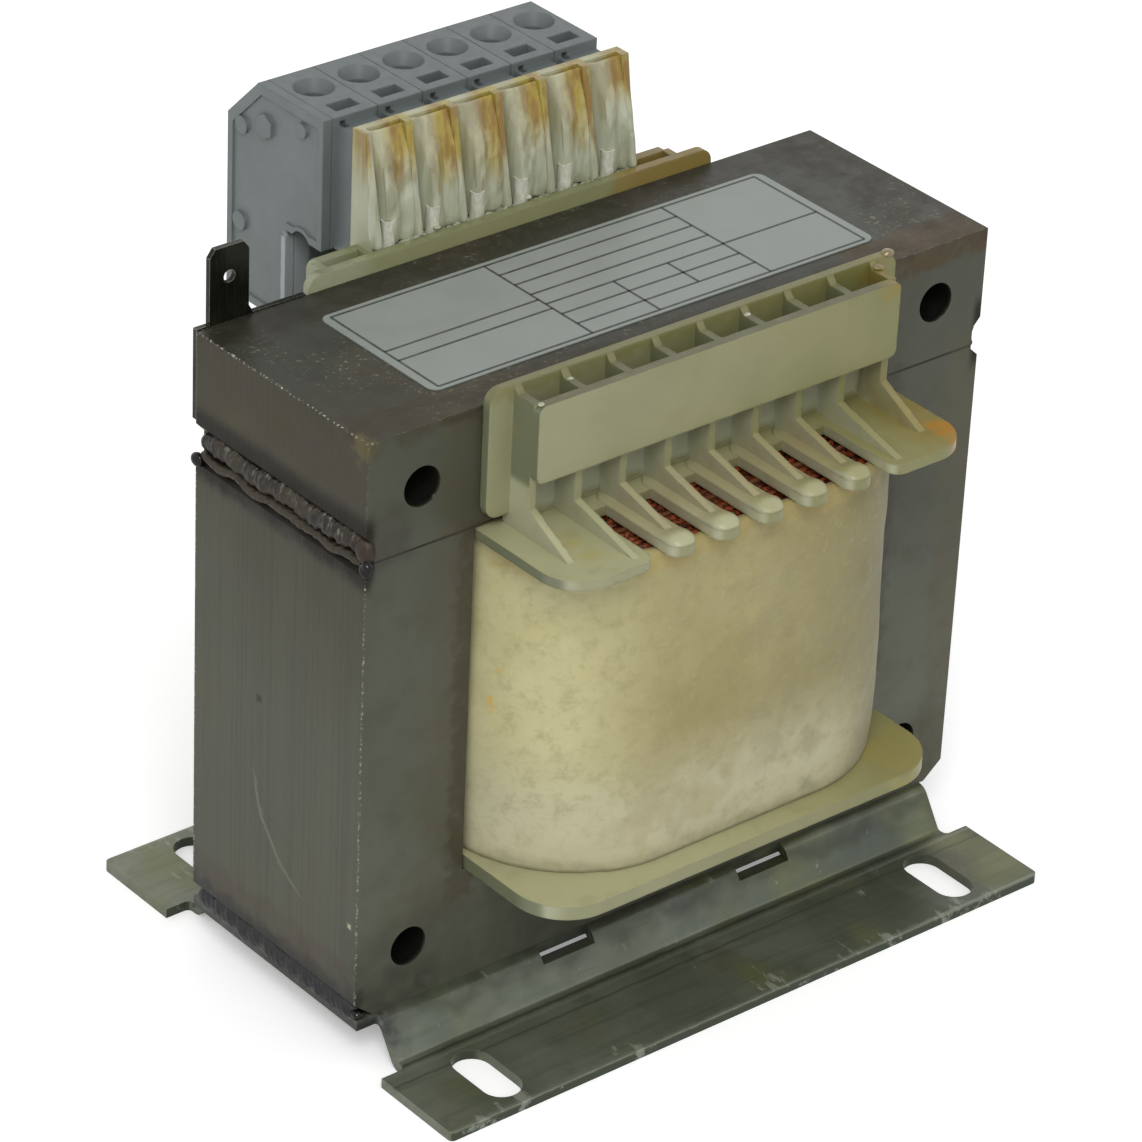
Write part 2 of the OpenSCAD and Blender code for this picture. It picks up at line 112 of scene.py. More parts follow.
world = bpy.data.worlds.new("studio_air")
bpy.context.scene.world = world
world.use_nodes = True
air = world.node_tree
air.nodes.clear()
air_light = 0.62
ray = put(air, "LightPath").outputs
seen = put(air, "Math", {0: ray["Is Camera Ray"], 1: ray["Is Glossy Ray"]}, operation="MAXIMUM")
seen = put(air, "Math", {0: seen.outputs[0], 1: ray["Is Transmission Ray"]}, operation="MAXIMUM")
plain = put(air, "Background", {"Color": (1, 1, 1, 1), "Strength": air_light})
white = put(air, "Background", {"Color": (1, 1, 1, 1), "Strength": 1.0})
pick = put(air, "MixShader", {0: seen.outputs[0], 1: plain.outputs[0], 2: white.outputs[0]})
put(air, "OutputWorld", {0: pick.outputs[0]})


def soft_lamp(name, place, size, power, aim=(0, 0, 0.05)):
    """A square area lamp at a place, turned towards the point it aims at."""
    data = bpy.data.lights.new(name, "AREA")
    data.size = size
    data.energy = power
    lamp = bpy.data.objects.new(name, data)
    lamp.location = place
    lamp.rotation_euler = (Vector(aim) - Vector(place)).to_track_quat("-Z", "Y").to_euler()
    bpy.context.scene.collection.objects.link(lamp)


soft_lamp("lamp_front_left", (-0.85, -1.0, 1.4), 0.8, 16)
soft_lamp("lamp_right", (1.2, -0.7, 0.9), 0.9, 1.4)

camera_place = (-0.413375, -0.481457, 0.422308)
azimuth, elevation, roll = np.radians([40.44, 30.68, 2.72])
flat = np.cos(elevation)
ahead = np.array([np.sin(azimuth) * flat, np.cos(azimuth) * flat, -np.sin(elevation)])
level = np.array([np.cos(azimuth), -np.sin(azimuth), 0.0])
above = np.cross(level, ahead)
right = np.cos(roll) * level + np.sin(roll) * above
upward = -np.sin(roll) * level + np.cos(roll) * above
lens = bpy.data.cameras.new("camera")
lens.sensor_width = 36.0
lens.lens = 170.6
lens.shift_x = 0.0014
lens.shift_y = 0.0209
lens.clip_end = 20.0
camera = bpy.data.objects.new("camera", lens)
turn = Matrix([[right[k], upward[k], -ahead[k]] for k in range(3)]).to_4x4()
camera.matrix_world = Matrix.Translation(camera_place) @ turn
bpy.context.scene.collection.objects.link(camera)
bpy.context.scene.camera = camera
bpy.context.scene.view_settings.view_transform = "Standard"

# ------------------------------ core
# Two blocks of stamped electrical sheet 0.5 mm thick, stacked along Y and dipped
# in varnish: dull grey faces, cut edges in fine lines, brown stains.


def new_group(name, inputs, outputs):
    """A shader node group. inputs and outputs are rows of name, kind and, for inputs, the usual value."""
    tree = bpy.data.node_groups.new(name, "ShaderNodeTree")
    for label, kind, usual in inputs:
        socket = tree.interface.new_socket(name=label, in_out="INPUT", socket_type="NodeSocket" + kind)
        if usual is not None:
            socket.default_value = usual
    for label, kind in outputs:
        tree.interface.new_socket(name=label, in_out="OUTPUT", socket_type="NodeSocket" + kind)
    return tree, tree.nodes.new("NodeGroupInput").outputs, tree.nodes.new("NodeGroupOutput").inputs


def use(tree, group, wires):
    """Places a node group in a material and returns its outputs."""
    return put(tree, "Group", wires, node_tree=group).outputs


def tree_of(*values):
    """The node tree that holds the first socket among some values."""
    return next(value.id_data for value in values if isinstance(value, bpy.types.NodeSocket))


def ramp(value, low, high, to_low=0.0, to_high=1.0, kind="SMOOTHSTEP"):
    """A value carried from the range low to high onto to_low to to_high, with its ends held."""
    wires = {0: value, 1: low, 2: high, 3: to_low, 4: to_high}
    return put(tree_of(value), "MapRange", wires, interpolation_type=kind).outputs[0]


def calc(operation, a, b=0.0):
    """One arithmetic step on two values."""
    return put(tree_of(a, b), "Math", {0: a, 1: b}, operation=operation).outputs[0]


def times(first, *others):
    """Masks or values multiplied, from left to right."""
    for other in others:
        first = calc("MULTIPLY", first, other)
    return first


def blend(mask, a, b):
    """Colour a where the mask is 0 and colour b where it is 1."""
    return put(tree_of(mask), "Mix", {0: mask, 6: a, 7: b}, data_type="RGBA").outputs[2]


def lay(colour, mask, hue, strength=None):
    """Lays a hue over a colour where the mask is 1, at a strength."""
    return blend(mask if strength is None else times(mask, strength), colour, tone(*hue))


def shade(value, low, high, hue, other):
    """One hue below low and the other above high, by a value."""
    return blend(ramp(value, low, high), tone(*hue), tone(*other))


def noise(place, scale, detail=3.0, rough=0.55):
    """Soft noise from 0 to 1; scale is in waves per metre."""
    wires = {"Vector": place, "Scale": scale, "Detail": detail, "Roughness": rough}
    return put(tree_of(place), "TexNoise", wires).outputs[0]


def stretched(place, scale, turn=(0.0, 0.0, 0.0)):
    """A place whose axes are scaled, so that a pattern on it is drawn out along those below 1."""
    return put(tree_of(place), "Mapping", {"Vector": place, "Scale": scale, "Rotation": turn}).outputs[0]


def where(tree):
    """Place on the piece in metres, from its Object coordinates."""
    return put(tree, "TexCoord").outputs["Object"]


def axes(place):
    """The X, Y and Z parts of a place."""
    return put(tree_of(place), "SeparateXYZ", {0: place}).outputs


def surface(shader, colour, value, smooth, rough, low=0.3, high=0.7):
    """Wires a colour to a shader, and a roughness from smooth to rough as a value goes from low to high."""
    shader.id_data.links.new(colour, shader.inputs["Base Color"])
    shader.id_data.links.new(ramp(value, low, high, smooth, rough), shader.inputs["Roughness"])


def dress(mat, *names):
    """Gives a material to CAD nodes."""
    for name in names:
        nodes[name].material_slots[0].material = mat


def relief(shader, height, depth, under=None):
    """Bump of a stated depth in metres on a shader."""
    wires = {"Height": height, "Distance": depth, "Strength": 1.0}
    if under is not None:
        wires["Normal"] = under
    tree = shader.id_data
    tree.links.new(put(tree, "Bump", wires).outputs[0], shader.inputs["Normal"])


# box mask for a stained patch, a painted shade or a painted highlight: each side fades over Soft, and the shaken
# place makes its edge ragged
stain_and_light_box, box_in, box_out = new_group("stain_and_light_in_box", [
    ("Place", "Vector", None), ("Shake", "Vector", None), ("Low", "Vector", None), ("High", "Vector", None),
    ("Soft", "Float", 0.001), ("Ragged", "Float", 0.001)], [("Mask", "Float")])
shake = put(stain_and_light_box, "VectorMath", {0: box_in["Shake"], "Scale": box_in["Ragged"]}, operation="SCALE")
shaken = put(stain_and_light_box, "VectorMath", {0: box_in["Place"], 1: shake.outputs[0]}, operation="ADD")
lows = put(stain_and_light_box, "VectorMath", {0: shaken.outputs[0], 1: box_in["Low"]}, operation="SUBTRACT")
highs = put(stain_and_light_box, "VectorMath", {0: box_in["High"], 1: shaken.outputs[0]}, operation="SUBTRACT")
inside = put(stain_and_light_box, "VectorMath", {0: lows.outputs[0], 1: highs.outputs[0]}, operation="MINIMUM")
inside = axes(inside.outputs[0])
inside = calc("MINIMUM", calc("MINIMUM", inside[0], inside[1]), inside[2])
inside = calc("DIVIDE", inside, box_in["Soft"])
stain_and_light_box.links.new(ramp(inside, -1.0, 1.0), box_out["Mask"])


def stains_and_painted_light(place, colour, rows):
    """Lays stained patches, painted shade and painted highlights over a colour, each in a box whose edge is soft
    and ragged.

    A row is the box's low and high corners, softness and raggedness in mm, then hue and strength."""
    tree, shakes = tree_of(place), {}
    coarse, finer = 240.0, 560.0
    for low, high, soft, ragged, hue, strength in rows:
        grain = coarse if ragged >= 1.2 else finer
        if grain not in shakes:
            cloud = put(tree, "TexNoise", {"Vector": place, "Scale": grain, "Detail": 1.5}).outputs["Color"]
            centred = put(tree, "VectorMath", {0: cloud, 1: (0.5, 0.5, 0.5)}, operation="SUBTRACT")
            shakes[grain] = centred.outputs[0]
        mask = use(tree, stain_and_light_box, {
            "Place": place, "Shake": shakes[grain], "Soft": soft * mm, "Ragged": 4.0 * ragged * mm,
            "Low": [v * mm for v in low], "High": [v * mm for v in high]})[0]
        colour = blend(times(mask, strength), colour, tone(*hue))
    return colour


# cut edges of stacked sheets: a shade for each sheet, and a fine dark line between two
edges, edge_in, edge_out = new_group("sheet_edges", [("Along", "Float", 0.0), ("Sheet", "Float", 0.0005)],
    [("Shade", "Float"), ("Line", "Float")])
count = calc("DIVIDE", edge_in["Along"], edge_in["Sheet"])
number = calc("FLOOR", count)
draw = put(edges, "TexWhiteNoise", {"W": number}, noise_dimensions="1D").outputs[0]
edges.links.new(draw, edge_out["Shade"])
off = calc("ABSOLUTE", calc("SUBTRACT", calc("SUBTRACT", count, number), 0.5))
edges.links.new(ramp(off, 0.30, 0.5), edge_out["Line"])

# rounded edges, whose mask carries the painted edge highlights: it is 1 where the surface turns within Reach, and
# Normal is rounded
rim, rim_in, rim_out = new_group("edge_mask", [("Reach", "Float", 0.0005)],
    [("Mask", "Float"), ("Normal", "Vector")])
rounded = put(rim, "Bevel", {"Radius": rim_in["Reach"]}, samples=2)
straight = put(rim, "NewGeometry").outputs["Normal"]
same = put(rim, "VectorMath", {0: rounded.outputs[0], 1: straight}, operation="DOT_PRODUCT").outputs["Value"]
rim.links.new(ramp(same, 0.995, 0.85), rim_out["Mask"])
rim.links.new(rounded.outputs[0], rim_out["Normal"])

# half width, half depth, height of the top and of the joint, and the corner holes, in mm
half_wide, half_deep, core_top, joint = 52.5, 18.25, 94.5, 77
hole_x, hole_z, hole_reach = 43.75, (15.75, 85.75), 3.1

core_mat, tree, shader = finish_of("lamination_steel", Specular_IOR_Level=0.4)
place = where(tree)
x, y, z = axes(place)
face_way = axes(put(tree, "NewGeometry").outputs["Normal"])
on_front = ramp(calc("ABSOLUTE", face_way[1]), 0.4, 0.6)
on_top = ramp(face_way[2], 0.4, 0.6)
cloud = noise(place, 45.0, 2.0)
grime = noise(place, 160.0, 4.0, 0.65)
colour = shade(cloud, 0.3, 0.7, (75, 77, 66), (83, 85, 73))
colour = lay(colour, ramp(z, 50 * mm, 96 * mm), (71, 73, 61))
colour = lay(colour, ramp(z, 58 * mm, 22 * mm), (92, 94, 81))
colour = lay(colour, ramp(grime, 0.45, 0.75), (70, 67, 52), 0.3)
low_side = shade(grime, 0.3, 0.7, (78, 80, 67), (87, 89, 76))
high_side = shade(grime, 0.3, 0.7, (53, 49, 31), (64, 60, 41))
side = blend(ramp(calc("ADD", z, times(cloud, 30 * mm)), 50 * mm, 108 * mm), low_side, high_side)
top = shade(grime, 0.3, 0.7, (50, 50, 42), (63, 63, 55))
top = lay(top, ramp(x, 10 * mm, 50 * mm), (64, 65, 58))
speck = ramp(noise(place, 1500.0, 1.0, 0.7), 0.60, 0.72)
top = lay(top, times(speck, ramp(cloud, 0.40, 0.62)), (128, 122, 104))
top = lay(top, ramp(noise(place, 260.0, 2.0, 0.65), 0.52, 0.66), (42, 37, 25), 0.5)
side = blend(on_top, side, top)
leaf = use(tree, edges, {"Along": y, "Sheet": 0.5 * mm})
streak = noise(stretched(place, (0.08, 1.0, 0.08)), 1400.0, 3.0)
fine = calc("ADD", times(leaf["Shade"], 0.4), times(streak, 0.6))
side = lay(side, ramp(fine, 0.35, 0.85), (52, 50, 40), 0.3)
broken = ramp(grime, 0.42, 0.62)
side = lay(side, times(leaf["Line"], broken), (40, 38, 33), 0.12)
side = lay(side, ramp(cloud, 0.50, 0.70), (92, 84, 62), 0.3)
colour = blend(on_front, side, colour)
from_joint = calc("ABSOLUTE", calc("SUBTRACT", z, joint * mm))
seam = ramp(from_joint, 0.24 * mm, 0.12 * mm)
colour = lay(colour, times(seam, on_front), (14, 13, 11), 0.95)
colour = stains_and_painted_light(place, colour, [
    ((-42, -19, 20), (-33.5, -17, 78), 2.5, 2.0, (80, 71, 50), 0.45),
    ((-37.5, -19, 20), (-33.0, -17, 78), 1.0, 1.0, (62, 55, 36), 0.6),
    ((-48, -19, 17), (-34, -17, 24), 2.5, 2.0, (76, 70, 54), 0.45),
    ((-52, -19, 76), (-46, -17, 84), 2.0, 1.2, (52, 49, 42), 0.7),
    ((-52, -19, 7), (-40, -17, 12), 2.0, 1.5, (50, 49, 42), 0.6),
    ((47.5, -19, 8), (54, -17, 78), 2.0, 1.6, (88, 80, 56), 0.5),
    ((34.5, -19, 30), (38.5, -17, 78), 1.5, 1.0, (54, 50, 36), 0.6),
    ((-40, -19, 78), (-34, -17, 96), 1.5, 1.2, (70, 66, 44), 0.6),
    ((30, -19, 91.5), (54, -12, 95.5), 0.9, 1.0, (70, 54, 24), 0.8),
    ((43, -17, 94), (54, 17, 95.5), 2.0, 2.0, (44, 37, 21), 0.85),
    ((-53, 12.5, 94), (54, 19, 95.5), 1.8, 1.8, (40, 35, 21), 0.85),
    ((-53, -19, 94), (-34, -11, 95.5), 2.2, 2.4, (54, 42, 16), 0.85),
    ((-52, -18, 94), (-18, -2, 95.5), 3.5, 2.6, (50, 43, 25), 0.55),
    ((-53.5, -19, 92.4), (-51.5, -15.4, 95), 0.7, 0.8, (106, 96, 54), 0.5),
    ((-53.5, -17, 90.6), (-51.8, -15.8, 93.5), 0.5, 0.8, (92, 82, 50), 0.35),
    ((-36, -19, 94), (40, -14, 95.5), 1.2, 1.0, (46, 42, 26), 0.7),
    ((-60, -20, 73.5), (-51.8, 20, 76), 1.0, 0.7, (46, 38, 34), 0.75),
    ((-60, -19, 8), (-51.5, 19, 11.5), 1.2, 0.8, (34, 34, 34), 0.8),
    ((-60, -19, 11), (-51.5, 19, 15), 1.5, 1.2, (72, 60, 54), 0.45),
    # painted shade: the lower yoke darkened where the coil's lower flange overhangs it
    ((-54, -19, 5), (54, -17, 19), 3.5, 2.0, (52, 52, 42), 0.45),
    ((-52.8, 3.2, 45.6), (-52.2, 4.4, 46.9), 0.3, 0.3, (44, 44, 18), 0.9),
    # a painted glint: a small white speck by the front edge of the left face
    ((-52.8, -17.0, 21.0), (-52.2, -16.4, 21.8), 0.25, 0.3, (190, 184, 160), 0.9),
])
# the walls of the corner holes, made near black
colour = stains_and_painted_light(place, colour, [
    ((at_x - hole_reach, -17.9, at_z - hole_reach), (at_x + hole_reach, 17.9, at_z + hole_reach),
     0.2, 0.01, (16, 18, 16), 0.92) for at_x in (-hole_x, hole_x) for at_z in hole_z])
# weld soot beside the joint, on both ends of the core
band = calc("ADD", z, times(calc("SUBTRACT", grime, 0.5), 3 * mm))
soot = times(ramp(band, 85.2 * mm, 81.8 * mm), ramp(band, 72 * mm, 76 * mm, 0.0, 1.0))
soot = times(soot, ramp(calc("ABSOLUTE", x), 50.5 * mm, 52.0 * mm))
colour = lay(colour, soot, (40, 38, 34), 0.9)
# a pale curved scratch low on the left face: a thin arc about a centre behind the face
arc_y, arc_z, arc_radius = -12.0, 36.5, 17.5
sway = times(noise(place, 500.0, 2.0), 1.6 * mm)
sweep_y = calc("SUBTRACT", calc("ADD", y, sway), arc_y * mm)
rise = calc("SUBTRACT", z, arc_z * mm)
reach = calc("SQRT", calc("ADD", calc("POWER", sweep_y, 2.0), calc("POWER", rise, 2.0)))
on_arc = ramp(calc("ABSOLUTE", calc("SUBTRACT", reach, arc_radius * mm)), 0.5 * mm, 0.05 * mm)
low_part = times(ramp(z, 35.5 * mm, 33.0 * mm), ramp(z, 19.5 * mm, 21.5 * mm))
low_part = times(low_part, ramp(sweep_y, 0.0 * mm, 4.0 * mm))
on_left = ramp(x, (0.2 - half_wide) * mm, (0.02 - half_wide) * mm)
colour = lay(colour, times(on_arc, low_part, on_left), (138, 132, 118), 0.4)
# broken painted glints along the edges, most of them on the left
near_x = ramp(calc("ABSOLUTE", x), (half_wide - 0.3) * mm, (half_wide - 0.08) * mm)
near_y = ramp(calc("ABSOLUTE", y), (half_deep - 0.3) * mm, (half_deep - 0.08) * mm)
near_z = ramp(z, (core_top - 0.3) * mm, (core_top - 0.08) * mm)
edge = calc("MAXIMUM", times(near_x, calc("MAXIMUM", near_y, near_z)), times(near_y, near_z))
spark = ramp(noise(place, 2400.0, 2.0), 0.52, 0.68)
away_from_seam = calc("SUBTRACT", 1.0, ramp(from_joint, 1.0 * mm, 0.5 * mm))
upper = ramp(z, (joint - 1) * mm, (joint + 1) * mm)
top_rim = ramp(z, (core_top - 0.9) * mm, (core_top - 0.4) * mm)
left_edges = calc("ADD", times(calc("SUBTRACT", 1.0, upper), 0.45), times(top_rim, 0.75))
left_edges = times(ramp(x, -50.5 * mm, -52.0 * mm), left_edges)
painted_edge_glint = times(edge, spark, away_from_seam)
painted_edge_glint = times(painted_edge_glint, calc("ADD", 0.08, left_edges))
colour = lay(colour, painted_edge_glint, (214, 212, 200))
surface(shader, colour, grime, 0.38, 0.58, high=0.8)
tree.links.new(ramp(soot, 0.0, 1.0, 0.3, 0.85), shader.inputs["Metallic"])
cut = times(calc("SUBTRACT", 1.0, on_front), calc("SUBTRACT", leaf["Shade"], leaf["Line"]))
pits = calc("ADD", times(cut, 0.5), noise(place, 900.0, 3.0))
relief(shader, pits, 0.02 * mm)
dress(core_mat, "core_e_stack", "core_i_yoke")

# ------------------------------ welds
# Arc-weld beads along Y: overlapping crescents of melted steel with brown and blue
# heat tint, and drops of black slag where the beads on the left were ended.


def wander(seed, place, waves, steps=7):
    """Smooth random curve: a sum of sine waves with seeded phases, between about -1 and 1."""
    rng = np.random.default_rng(seed)
    turns = rng.uniform(0.3, 1.0, steps) * waves * 2 * np.pi
    phase = rng.uniform(0, 2 * np.pi, steps)
    size = rng.uniform(0.5, 1.0, steps) / np.sqrt(steps)
    return np.sum(size * np.sin(np.asarray(place)[..., None] * turns + phase), axis=-1)


def grid_faces(rows, columns, loop_rows=False):
    """Four-cornered faces between rows of points that are closed rings; the last row may meet the first."""
    r = np.arange(rows if loop_rows else rows - 1)[:, None]
    c = np.arange(columns)[None, :]
    r2, c2 = (r + 1) % rows, (c + 1) % columns
    quads = [r * columns + c, r2 * columns + c, r2 * columns + c2, r * columns + c2]
    return np.stack([q + 0 * r + 0 * c for q in quads], axis=-1).reshape(-1, 4)


def turns_of(count):
    """Angles evenly spaced round a circle, as one row."""
    return np.linspace(0, 2 * np.pi, count, endpoint=False)[None, :]


def swept_tube(centre, radius, across, over):
    """Tube of points, one ring a row: centre plus radius times (cosine of across plus sine of over)."""
    around = turns_of(radius.shape[1])[..., None]
    ring = np.cos(around) * across + np.sin(around) * over
    return centre[:, None, :] + radius[:, :, None] * ring


def seated(piece, slot, *replaced):
    """Rides a piece on the one body and hides the CAD nodes that it stands for. The slot is not used."""
    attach(piece, "root")
    if replaced:
        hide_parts(*replaced)
    return piece


def skin(name, points, mat, slot, *replaced, loop_rows=False):
    """A seated piece from rows of points, each row a closed ring, with a face between every four points."""
    faces = grid_faces(*points.shape[:2], loop_rows)
    return seated(mesh_piece(name, points, faces, mat), slot, *replaced)


def weld_bead(name, place_of, half_length, width, height, ripple, depth, seed, *replaced):
    """A bead along Y with an oval section; its half length, half width, half height and ripple are in mm.

    Crescent ripples stand on its upper half, and it falls to nothing at both ends."""
    rows, columns = 380, 32
    t = np.linspace(0, 1, rows)
    around = turns_of(columns)
    along = (2 * t - 1) * (half_length * mm)
    sway_x, sway_z = 0.10 * mm * wander(seed, t, 7), 0.28 * mm * wander(seed + 1, t, 6)
    centre = np.stack([place_of[0] + sway_x, along, place_of[1] + sway_z], axis=1)
    beat = along[:, None] / (ripple * mm) + 0.6 * np.cos(around) * np.sin(around)
    beat = beat + 0.5 * wander(seed + 2, t, 12)[:, None]
    upper = 0.5 + 0.5 * np.tanh(3 * np.sin(around) + 1.2)
    crest = np.abs(np.sin(np.pi * beat)) * upper * (0.55 + 0.45 * wander(seed + 5, t, 8)[:, None])
    rough = 0.4 + 6 * depth
    lumps = 0.13 * wander(seed + 3, t, 14)[:, None] + 0.10 * wander(seed + 4, t[:, None] * 5 + around, 6)
    size = 1 + depth * (crest - 0.5) + rough * lumps
    close = np.sqrt(np.clip(1 - np.abs(2 * t - 1) ** 14, 0, 1))[:, None]
    points = swept_tube(centre, size * close, np.array([width * mm, 0, 0]), np.array([0, 0, height * mm]))
    return skin(name, points, weld_mat, "weld", *replaced)


def drop(name, centre, size, mat, slot, seed, squash):
    """A closed drop: a sphere whose radius wanders a little, squashed along its axes; sizes in mm."""
    rows, columns = 18, 28
    lat = np.linspace(0, np.pi, rows)[:, None]
    lon = turns_of(columns)
    bulge = 1 + 0.10 * wander(seed, lat * 0.4 + 0.25 * np.sin(lon), 2) * np.sin(lat)
    ball = np.stack([np.sin(lat) * np.cos(lon), np.sin(lat) * np.sin(lon), np.cos(lat) + 0 * lon], axis=-1)
    points = np.array(centre) * mm + size * mm * bulge[..., None] * ball * np.array(squash)
    return skin(name, points, mat, slot)


weld_mat, tree, shader = finish_of("weld_burnt", Metallic=0.5)
place = where(tree)
z = axes(place)[2]
tint = noise(stretched(place, (1.0, 0.5, 1.0)), 300.0, 3.0)
burnt = shade(tint, 0.38, 0.62, (42, 38, 32), (62, 57, 47))
burnt = lay(burnt, ramp(noise(place, 330.0, 2.0), 0.60, 0.76), (56, 41, 34))
burnt = lay(burnt, ramp(noise(place, 420.0, 2.0), 0.60, 0.75), (38, 38, 42))
ridge = ramp(noise(stretched(place, (1.0, 1.6, 0.35)), 1300.0, 3.0), 0.52, 0.72)
silver = times(ridge, ramp(z, 78.4 * mm, 80.0 * mm, 0.0, 0.6))
burnt = lay(burnt, silver, (140, 136, 124))
burnt = stains_and_painted_light(place, burnt, [
    ((-56, -20, 76.8), (-49, -15.8, 82), 1.2, 0.9, (54, 40, 33), 0.75),
    ((-56, -20, 74), (-49, 20, 77.3), 0.4, 0.3, (66, 58, 44), 0.6),
    ((-56, -18, 2), (-49, 18, 12), 1.5, 0.5, (44, 46, 50), 0.75),
])
surface(shader, burnt, tint, 0.34, 0.58)
relief(shader, noise(place, 2200.0, 4.0), 0.08 * mm)

slag_mat, tree, shader = finish_of("weld_slag", Coat_Weight=0.0, Specular_IOR_Level=0.3)
place = where(tree)
colour = blend(noise(place, 700.0, 2.0), tone(8, 8, 8), tone(22, 17, 15))
surface(shader, colour, noise(place, 900.0), 0.04, 0.09)

bead_z, fold_z = 79.0 * mm, 76.7 * mm
ends = (("left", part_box("weld_joint_left")[0][0], 1, 11), ("right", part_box("weld_joint_right")[1][0], -1, 21))
for name, at_x, way, seed in ends:
    bead_at, fold_at = (at_x + way * 1.35 * mm, bead_z), (at_x + way * 1.15 * mm, fold_z)
    weld_bead("weld_bead_joint_" + name, bead_at, 17.6, 1.25, 1.6, 0.62, 0.07, seed, "weld_joint_" + name)
    weld_bead("weld_fold_joint_" + name, fold_at, 17.5, 1.0, 0.75, 3.0, 0.03, seed + 6)
base_left, base_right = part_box("weld_base_left"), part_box("weld_base_right")
foot_left = (base_left[0][0] + 1.7 * mm, base_left[0][2] + 0.9 * mm)
foot_right = (base_right[0][0] + 1.1 * mm, base_right[1][2] - 1.4 * mm)
weld_bead("weld_bead_base_left", foot_left, 17.7, 1.4, 1.8, 2.6, 0.05, 31, "weld_base_left")
weld_bead("weld_bead_base_right", foot_right, 16.6, 1.2, 1.3, 1.4, 0.1, 41, "weld_base_right")
drop("weld_drop_front", (-52.3, -18.35, 76.6), 1.15, slag_mat, "weld", 51, (0.8, 0.9, 1.15))
drop("weld_drop_rear", (-52.7, 17.6, 76.0), 1.0, slag_mat, "weld", 52, (0.7, 1.1, 1.0))
drop("weld_lump_front", (-52.0, -17.5, 78.7), 1.6, weld_mat, "weld", 54, (0.7, 0.95, 1.15))
drop("weld_drop_base", (-51.6, -17.6, 7.6), 0.8, slag_mat, "weld", 53, (1.0, 1.2, 0.9))

# ------------------------------ base
# Galvanised steel sheet, folded on both sides of the core into webs and flat feet:
# greenish grey zinc with faint flowers, white scuffs near the edges of the feet.

# place of a foot's outer edge along Y, and the width beside it that is scuffed, in mm
foot_edge, scuffed = 39, 4.5

zinc_mat, tree, shader = finish_of("zinc_sheet", Metallic=0.4)
place = where(tree)
x, y, z = axes(place)
face_way = axes(put(tree, "NewGeometry").outputs["Normal"])
flower = put(tree, "TexVoronoi", {"Vector": place, "Scale": 170.0}, feature="F1").outputs["Color"]
flower = axes(flower)[0]
cloud = noise(place, 40.0, 4.0)
colour = shade(cloud, 0.35, 0.65, (97, 103, 86), (124, 128, 112))
colour = lay(colour, ramp(x, 0 * mm, 40 * mm, 0.0, 0.85), (62, 68, 50))
colour = lay(colour, ramp(noise(place, 130.0, 4.0, 0.65), 0.5, 0.66), (74, 74, 56), 0.35)
colour = lay(colour, ramp(noise(place, 55.0, 2.0), 0.5, 0.68), (108, 112, 78))
colour = lay(colour, flower, (126, 132, 124), 0.12)
rolled = noise(stretched(place, (0.05, 1.0, 1.0)), 900.0, 3.0)
colour = lay(colour, ramp(rolled, 0.45, 0.75), (62, 70, 52), 0.3)
slope = ramp(calc("ABSOLUTE", face_way[1]), 0.5, 0.8)
web = times(slope, ramp(z, 1.5 * mm, 2.0 * mm))
colour = lay(colour, times(web, ramp(noise(place, 90.0, 3.0), 0.35, 0.7, 0.1, 0.6)), (82, 92, 87))
colour = lay(colour, times(slope, ramp(z, 1.6 * mm, 1.3 * mm)), (58, 66, 50))
scuff = noise(stretched(place, (1.0, 0.35, 1.0)), 420.0, 5.0, 0.7)
rubbed = ramp(calc("ABSOLUTE", calc("ADD", calc("ABSOLUTE", y), -foot_edge * mm)), scuffed * mm, 0.0)
rubbed = times(rubbed, ramp(noise(place, 60.0, 2.0), 0.40, 0.62))
scuff = ramp(calc("ADD", scuff, times(rubbed, 0.12)), 0.63, 0.72)
colour = lay(colour, scuff, (158, 164, 150), 0.6)
# a painted highlight along the outer edges of the feet, brighter where scuffed
foot_edge_highlight = ramp(calc("ABSOLUTE", y), foot_edge * mm, (foot_edge + 0.35) * mm)
foot_edge_highlight = times(foot_edge_highlight, ramp(z, 1.0 * mm, 1.4 * mm))
colour = lay(colour, times(foot_edge_highlight, calc("ADD", 0.3, times(scuff, 0.6))), (150, 156, 142))
colour = stains_and_painted_light(place, colour, [
    ((-54, -26, 4), (-47, 26, 7.2), 1.2, 0.8, (36, 38, 40), 0.8),
    # painted shade: a dark strip on the seat along the front of the core, under the coil
    ((-47, -24, 4.5), (50, -17, 7.2), 1.5, 1.5, (44, 46, 38), 0.5),
    ((44, -36, 1), (54, -24, 2), 2.5, 1.6, (110, 100, 66), 0.45),
    # painted shade and painted highlights: dark and light lines along the bends of the webs and the outer edge of
    # the foot
    ((-54, -24.3, 1.2), (54, -23.7, 2.4), 0.25, 0.12, (44, 48, 38), 0.65),
    ((-54, -25.3, 1.2), (54, -24.8, 2.0), 0.2, 0.12, (132, 138, 124), 0.5),
    ((-54, -27.4, 1.2), (54, -27.0, 2.0), 0.2, 0.12, (52, 56, 44), 0.5),
    ((-54, -19.6, 5.4), (54, -18.9, 6.4), 0.3, 0.12, (136, 144, 136), 0.4),
    ((-54, -40, 1.3), (54, -39.0, 1.7), 0.2, 0.25, (140, 146, 130), 0.4),
])
surface(shader, colour, calc("ADD", cloud, scuff), 0.28, 0.5, high=1.2)
relief(shader, calc("ADD", rolled, scuff), 0.02 * mm)
dress(zinc_mat, "base_plate")

# ------------------------------ earth tab
# Bright tinned plate behind the yoke with a push-on blade: its colour is a painted dark
# reflection, with painted highlights on its thin edges and fine scratches up the blade.

tab_mat, tree, shader = finish_of("tinned_tab", Metallic=0.85)
place = where(tree)
hair = noise(stretched(place, (1.0, 1.0, 0.06)), 2400.0, 3.0)
cloud = noise(place, 180.0, 3.0)
